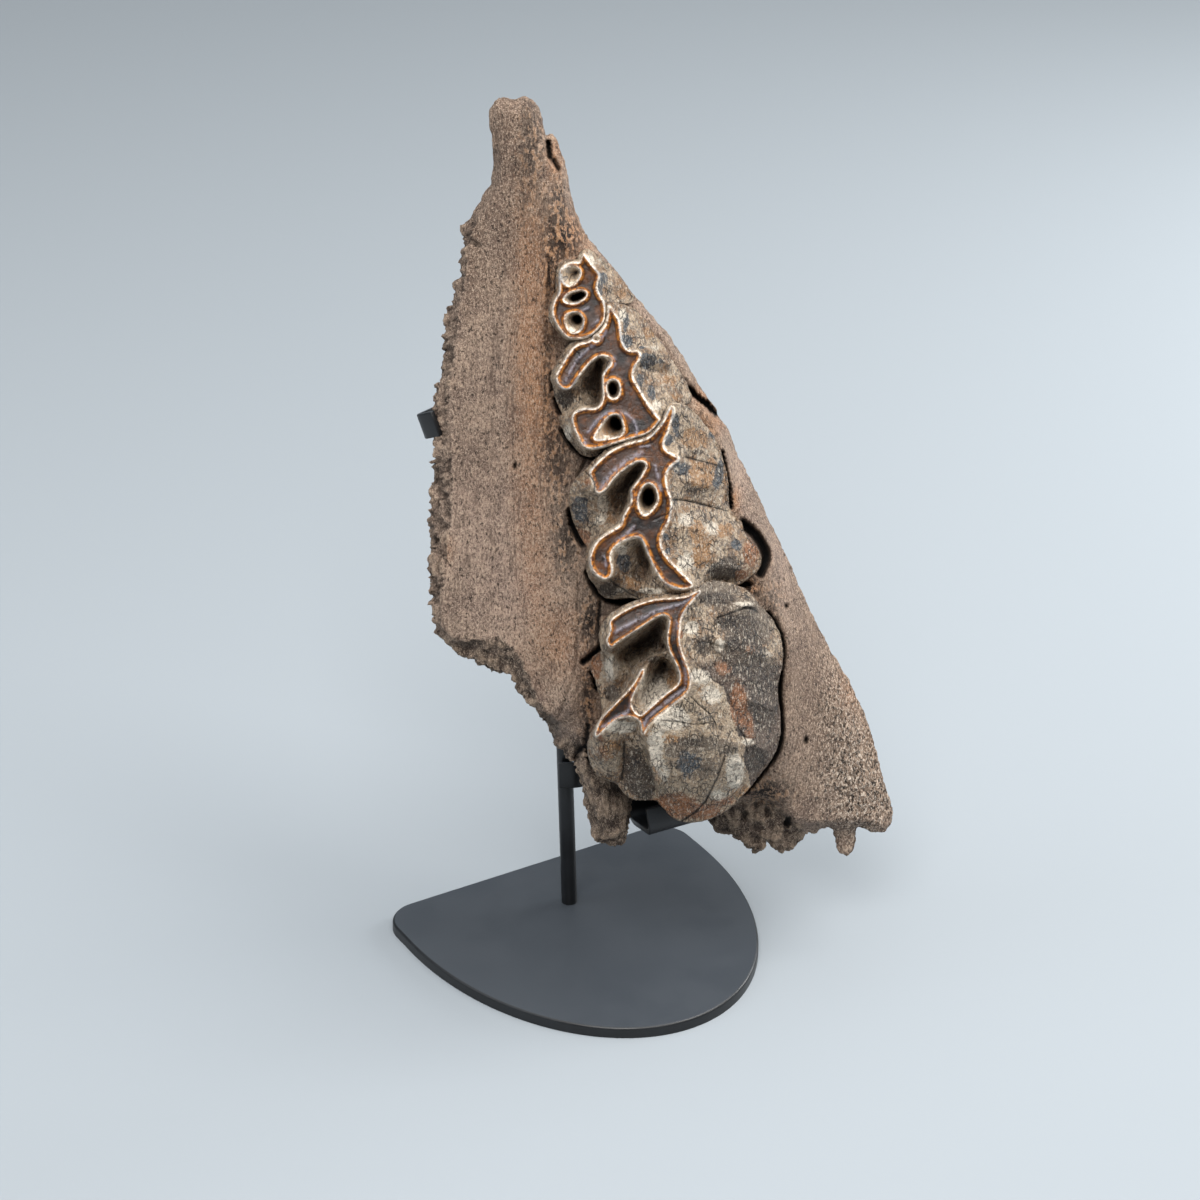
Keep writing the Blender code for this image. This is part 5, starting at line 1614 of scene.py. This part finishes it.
# %% Rod
def rod_route():
    foot = np.array([0, 0, PLATE_THICKNESS - ROD_BURIED])
    bend = np.array([-ROD_LEAN * ROD_BEND_HEIGHT, 0, ROD_BEND_HEIGHT])
    top = jaw_to_world(*ROD_TOP)
    into = bend + (foot - bend) / np.linalg.norm(foot - bend) * ROD_BEND_REACH
    out_of = bend + (top - bend) / np.linalg.norm(top - bend) * ROD_BEND_REACH
    soft = [into * (1 - t) ** 2 + bend * 2 * t * (1 - t) + out_of * t * t for t in np.linspace(0, 1, 17)]
    return [foot] + soft + [top]


def make_rod():
    start_fresh()
    bpy.ops.curve.primitive_nurbs_path_add(location=(0, 0, 0))
    rod = bpy.context.object
    curve = rod.data
    curve.splines.clear()
    spline = curve.splines.new("POLY")
    route = rod_route()
    spline.points.add(len(route) - 1)
    for point, place in zip(spline.points, route):
        point.co = (*(place * MM), 1.0)
    curve.bevel_depth = ROD_RADIUS * MM
    curve.bevel_resolution = 12
    curve.use_fill_caps = True
    bpy.ops.object.convert(target="MESH")
    bpy.ops.object.mode_set(mode="EDIT")
    bpy.ops.mesh.select_all(action="SELECT")
    bpy.ops.mesh.remove_doubles(threshold=0.00001)
    return settle("stand_rod_steel", "stand_rod")


rod = make_rod()

# %% [markdown]
# ### Bent flat bars
#
# The arms and the hook are flat bar, bent hot. One edge as wide as the bar is pulled out along
# the path, with a few short steps in each bend. Solidify gives the sheet its thickness, and a
# small bevel breaks the edges, which is where steel catches the light.

# %% Bent bars
BAR_EDGE = 0.3
ARM_THICKNESS = 1.6


def rounded(path, radius, steps):
    result = [np.array(path[0], float)]
    for before, corner, after in zip(*(np.array(path[i:len(path) - 2 + i], float) for i in range(3))):
        back, on = before - corner, after - corner
        reach = min(radius, 0.45 * np.hypot(*back), 0.45 * np.hypot(*on))
        into = corner + back / np.hypot(*back) * reach
        out_of = corner + on / np.hypot(*on) * reach
        for t in np.linspace(0, 1, steps + 1):
            result.append(into * (1 - t) ** 2 + corner * 2 * t * (1 - t) + out_of * t * t)
    return result + [np.array(path[-1], float)]


def pull_out(name, node, places, across, width, thickness):
    """A bar of a width along across, whose middle follows the places."""
    start_fresh()
    side = np.cross(across, JAW_OUT)
    side /= np.linalg.norm(side)
    facing = Matrix((side, across, np.cross(side, across))).transposed()
    bpy.ops.mesh.primitive_plane_add(size=width * MM, location=Vector(places[0]) * MM,
                                     rotation=facing.to_euler())
    bpy.ops.object.transform_apply(location=True, rotation=True, scale=True)
    bpy.ops.object.mode_set(mode="EDIT")
    pick(lambda place: (np.array(place) - places[0]) @ side > 0)
    bpy.ops.mesh.delete(type="VERT")
    bpy.ops.mesh.select_all(action="SELECT")
    bpy.ops.transform.translate(value=side * width / 2 * MM)
    for start, end in zip(places, places[1:]):
        bpy.ops.mesh.extrude_region_move(TRANSFORM_OT_translate={"value": (end - start) * MM})
    bpy.ops.object.mode_set(mode="OBJECT")
    piece = bpy.context.object
    apply_modifier(piece, "SOLIDIFY", thickness=thickness * MM, offset=0.0, use_even_offset=True)
    apply_modifier(piece, "BEVEL", width=BAR_EDGE * MM, segments=3, limit_method="ANGLE",
                   angle_limit=math.radians(50))
    bpy.ops.object.mode_set(mode="EDIT")
    return settle(name, node)


print("bars ready to bend")

# %% [markdown]
# ### Upper arm
#
# The upper arm runs from the rod to the left, behind the palate, and folds round its edge to the
# front. Its tip is twisted a little, so the tip's points are turned, with a soft start.

# %% Upper arm
UPPER_ARM_PATH = [(-12.5, -22.5), (-44.0, -22.5), (-51.3, -15.0), (-45.9, -8.6)]
UPPER_ARM_V = 49.5
UPPER_ARM_WIDTH = 7.4
UPPER_ARM_BEND = 3.2
UPPER_TIP_U = -47.0
UPPER_TIP_TWIST_DEG = 19.0
TWIST_STARTS_AT = 8.0
TWIST_GROWS_OVER = 6.0


def twist_tip(piece):
    """Turns the points near the tip about the jaw's outward axis."""
    middle = jaw_to_world(UPPER_TIP_U, UPPER_ARM_V, 0)
    for vertex in piece.data.vertices:
        place = np.array(vertex.co) / MM - middle
        u, v = place @ JAW_RIGHT, place @ JAW_UP
        share = min(max((TWIST_STARTS_AT - u) / TWIST_GROWS_OVER, 0.0), 1.0)
        twist = math.radians(UPPER_TIP_TWIST_DEG) * share
        moved_u = u * math.cos(twist) - v * math.sin(twist)
        moved_v = u * math.sin(twist) + v * math.cos(twist)
        vertex.co += Vector((JAW_RIGHT * (moved_u - u) + JAW_UP * (moved_v - v)) * MM)


upper_path = [jaw_to_world(u, UPPER_ARM_V, w) for u, w in rounded(UPPER_ARM_PATH, UPPER_ARM_BEND, 8)]
upper_arm = pull_out("stand_upper_arm_steel", "stand_upper_arm", upper_path, JAW_UP, UPPER_ARM_WIDTH,
                     ARM_THICKNESS)
twist_tip(upper_arm)

# %% [markdown]
# ### Saddle hook
#
# The wide hook under the molar carries the weight. It is a J from the side, and stands askew:
# tilted in the jaw's plane, and turned so that its open side shows.

# %% Saddle hook
HOOK_PATH = [(-54.5, -34.5), (-72.5, -33.0), (-72.5, -9.5), (-64.6, -8.6)]
HOOK_TOP = (16.1, -52.0, -22.0)
HOOK_WIDTH = 18.0
HOOK_THICKNESS = 1.8
HOOK_BEND = 9.0
HOOK_TILT_DEG = 12.0
HOOK_TURN_DEG = 15.0

hook_tilt, hook_turn = math.radians(HOOK_TILT_DEG), math.radians(HOOK_TURN_DEG)
hook_level = JAW_RIGHT * math.cos(hook_tilt) + JAW_UP * math.sin(hook_tilt)
hook_up = JAW_UP * math.cos(hook_tilt) - JAW_RIGHT * math.sin(hook_tilt)
hook_across = hook_level * math.cos(hook_turn) - JAW_OUT * math.sin(hook_turn)
hook_out = JAW_OUT * math.cos(hook_turn) + hook_level * math.sin(hook_turn)
hook_path = [jaw_to_world(*HOOK_TOP) + hook_up * (v - HOOK_PATH[0][0]) + hook_out * (w - HOOK_TOP[2])
             for v, w in rounded(HOOK_PATH, HOOK_BEND, 14)]
hook = pull_out("stand_saddle_hook_steel", "stand_saddle_hook", hook_path, hook_across, HOOK_WIDTH,
                HOOK_THICKNESS)

# %% [markdown]
# ### Lower arm
#
# The lower arm starts with a fold in front of the rod, which it must hug, so that end leans with
# the rod. It then turns behind the bone to carry the hook.

# %% Lower arm
LOWER_ARM_V = -58.6
LOWER_ARM_HEIGHT = 50.0
LOWER_ARM_BACK_W = -36.5
LOWER_ARM_END_U = 27.0
LOWER_ARM_WIDTH = 8.4
LOWER_ARM_BEND = 2.4
LEAN_STARTS_AT = 6.0
LEAN_GROWS_OVER = 9.0


def lower_arm_path():
    place = np.array([-ROD_LEAN * LOWER_ARM_HEIGHT, 0, LOWER_ARM_HEIGHT]) - JAW_ORIGIN_MM
    u, w = place @ JAW_RIGHT, place @ JAW_OUT
    reach = ROD_RADIUS + ARM_THICKNESS
    return [(u - 1.9, w + reach), (u + reach, w + reach), (u + reach + 3.0, LOWER_ARM_BACK_W),
            (8.6, LOWER_ARM_BACK_W), (LOWER_ARM_END_U, LOWER_ARM_BACK_W)]


lower_path = [jaw_to_world(u, LOWER_ARM_V, w) for u, w in rounded(lower_arm_path(), LOWER_ARM_BEND, 8)]
lower_arm = pull_out("stand_lower_arm_steel", "stand_lower_arm", lower_path, JAW_UP, LOWER_ARM_WIDTH,
                     ARM_THICKNESS)


def lean_with_rod(piece):
    """Tips the left end of the arm forwards at the top and back at the bottom, to match the rod."""
    lean = math.tan(math.radians(JAW_LEAN_DEG))
    middle_line = jaw_to_world(0, LOWER_ARM_V, 0)
    for vertex in piece.data.vertices:
        place = np.array(vertex.co) / MM - middle_line
        u, v = place @ JAW_RIGHT, place @ JAW_UP
        share = min(max((LEAN_STARTS_AT - u) / LEAN_GROWS_OVER, 0.0), 1.0)
        vertex.co += Vector(JAW_OUT * v * lean * share * MM)


lean_with_rod(lower_arm)
print("lower arm leans with the rod")

# %% [markdown]
# ### Finish of the steel
#
# Black paint on steel is never one even black: it has a faint orange peel. Faces that look up
# are painted lighter, a painted reflection of the light above. Colour and roughness wander with
# a soft noise.

# %% Steel finish
def steel_finish():
    material, tree, shader = new_finish("satin_black_steel")
    place = add_node(tree, "ShaderNodeTexCoord").outputs["Object"]
    drift = cloud(tree, place, 60, 3)
    peel = cloud(tree, place, 1400, 3)
    up = add_node(tree, "ShaderNodeSeparateXYZ", None,
                  Vector=add_node(tree, "ShaderNodeNewGeometry").outputs["Normal"]).outputs["Z"]
    colour = lay_over(tree, "#101113", "#17191c", between(tree, drift, 0.4, 0.65))
    # Faces that look up are painted lighter: a painted reflection of the light above.
    colour = lay_over(tree, colour, "#42474d", times(tree, between(tree, up, 0.85, 1.0), 0.85))
    link_or_set(tree, colour, shader.inputs["Base Color"])
    roughness = between(tree, drift, 0.35, 0.65, 0.34, 0.46)
    link_or_set(tree, roughness, shader.inputs["Roughness"])
    bump = add_node(tree, "ShaderNodeBump", None, Height=peel, Strength=0.12, Distance=0.0002)
    link_or_set(tree, bump.outputs["Normal"], shader.inputs["Normal"])
    return material


steel = steel_finish()
for piece in (plate, rod, upper_arm, lower_arm, hook):
    piece.data.materials.clear()
    piece.data.materials.append(steel)
print("steel on five pieces")

# %% [markdown]
# ## Studio
#
# The object stands on a pale blue-grey sweep: a wide floor that curves up all round, so that it
# has no edge from any side.

# %% Sweep
FLOOR_RADIUS_M = 3.2
SWEEP_CURVE_M = 0.9
SWEEP_HEIGHT_M = 2.2


def make_sweep():
    start_fresh()
    bpy.ops.mesh.primitive_circle_add(vertices=128, radius=FLOOR_RADIUS_M, fill_type="NGON",
                                      location=(0, 0, 0))
    bpy.ops.object.mode_set(mode="EDIT")
    bpy.ops.mesh.select_all(action="SELECT")
    bpy.ops.mesh.region_to_loop()
    before = 0.0
    for number in range(1, 13):
        angle = math.pi / 2 * number / 12
        out, up = SWEEP_CURVE_M * math.sin(angle), SWEEP_CURVE_M * (1 - math.cos(angle))
        wider = (FLOOR_RADIUS_M + out) / (FLOOR_RADIUS_M + before)
        bpy.ops.mesh.extrude_region_move()
        bpy.ops.transform.resize(value=(wider, wider, 1), center_override=(0, 0, 0))
        rise = up - SWEEP_CURVE_M * (1 - math.cos(math.pi / 2 * (number - 1) / 12))
        bpy.ops.transform.translate(value=(0, 0, rise))
        before = out
    bpy.ops.mesh.extrude_region_move(TRANSFORM_OT_translate={"value": (0, 0, SWEEP_HEIGHT_M)})
    bpy.ops.object.mode_set(mode="OBJECT")
    bpy.ops.object.shade_smooth()
    sweep = bpy.context.object
    sweep.name = "floor"
    material, tree, shader = new_finish("pale_paper")
    shader.inputs["Base Color"].default_value = linear("#9ba1a6")
    shader.inputs["Roughness"].default_value = 0.9
    shader.inputs["Specular IOR Level"].default_value = 0.2
    sweep.data.materials.append(material)
    return sweep


sweep = make_sweep()
print("sweep", len(sweep.data.polygons), "faces")

# %% [markdown]
# ### Lamps
#
# The key lamp stands high on the right, the front lamp fills its shadows, and a cool side lamp
# draws the left edge. A ceiling lamp and the sky's even glow keep the floor pale, and a small
# lamp brightens the floor behind on the right.

# %% Lamps
def add_lamp(name, azimuth_deg, elevation_deg, reach, size, power, colour, aim=(0, 0, 0.13)):
    """A square soft lamp, seen from the object at an azimuth and elevation, aimed at it."""
    turn, rise = math.radians(azimuth_deg), math.radians(elevation_deg)
    away = Vector((math.sin(turn) * math.cos(rise), -math.cos(turn) * math.cos(rise), math.sin(rise)))
    data = bpy.data.lights.new(name, "AREA")
    data.shape = "RECTANGLE"
    data.size, data.size_y = size
    data.energy = power
    data.color = colour
    lamp = bpy.data.objects.new(name, data)
    lamp.location = Vector(aim) + away * reach
    lamp.rotation_euler = away.to_track_quat("Z", "Y").to_euler()
    bpy.context.scene.collection.objects.link(lamp)
    return lamp


add_lamp("key_lamp", 55, 52, 1.3, (0.9, 0.6), 14, (1.0, 0.985, 0.965))
add_lamp("front_lamp", -35, 50, 1.4, (0.8, 0.8), 16, (1.0, 0.985, 0.97))
add_lamp("side_lamp", -110, 30, 1.5, (0.8, 1.0), 5, (0.90, 0.95, 1.0))
add_lamp("floor_lamp", 62, 30, 0.7, (0.5, 0.3), 5, (0.96, 0.99, 1.0), aim=(0.40, 0.30, 0.0))
add_lamp("ceiling_lamp", 0, 90, 2.6, (4.0, 4.0), 55, (0.97, 0.99, 1.0))
sky = bpy.data.worlds.new("studio_sky")
sky.use_nodes = True
sky.node_tree.nodes["Background"].inputs["Color"].default_value = linear("#e1e7ec")
sky.node_tree.nodes["Background"].inputs["Strength"].default_value = 0.40
bpy.context.scene.world = sky
bpy.context.scene.view_settings.view_transform = "Standard"
print("five lamps and a soft sky")
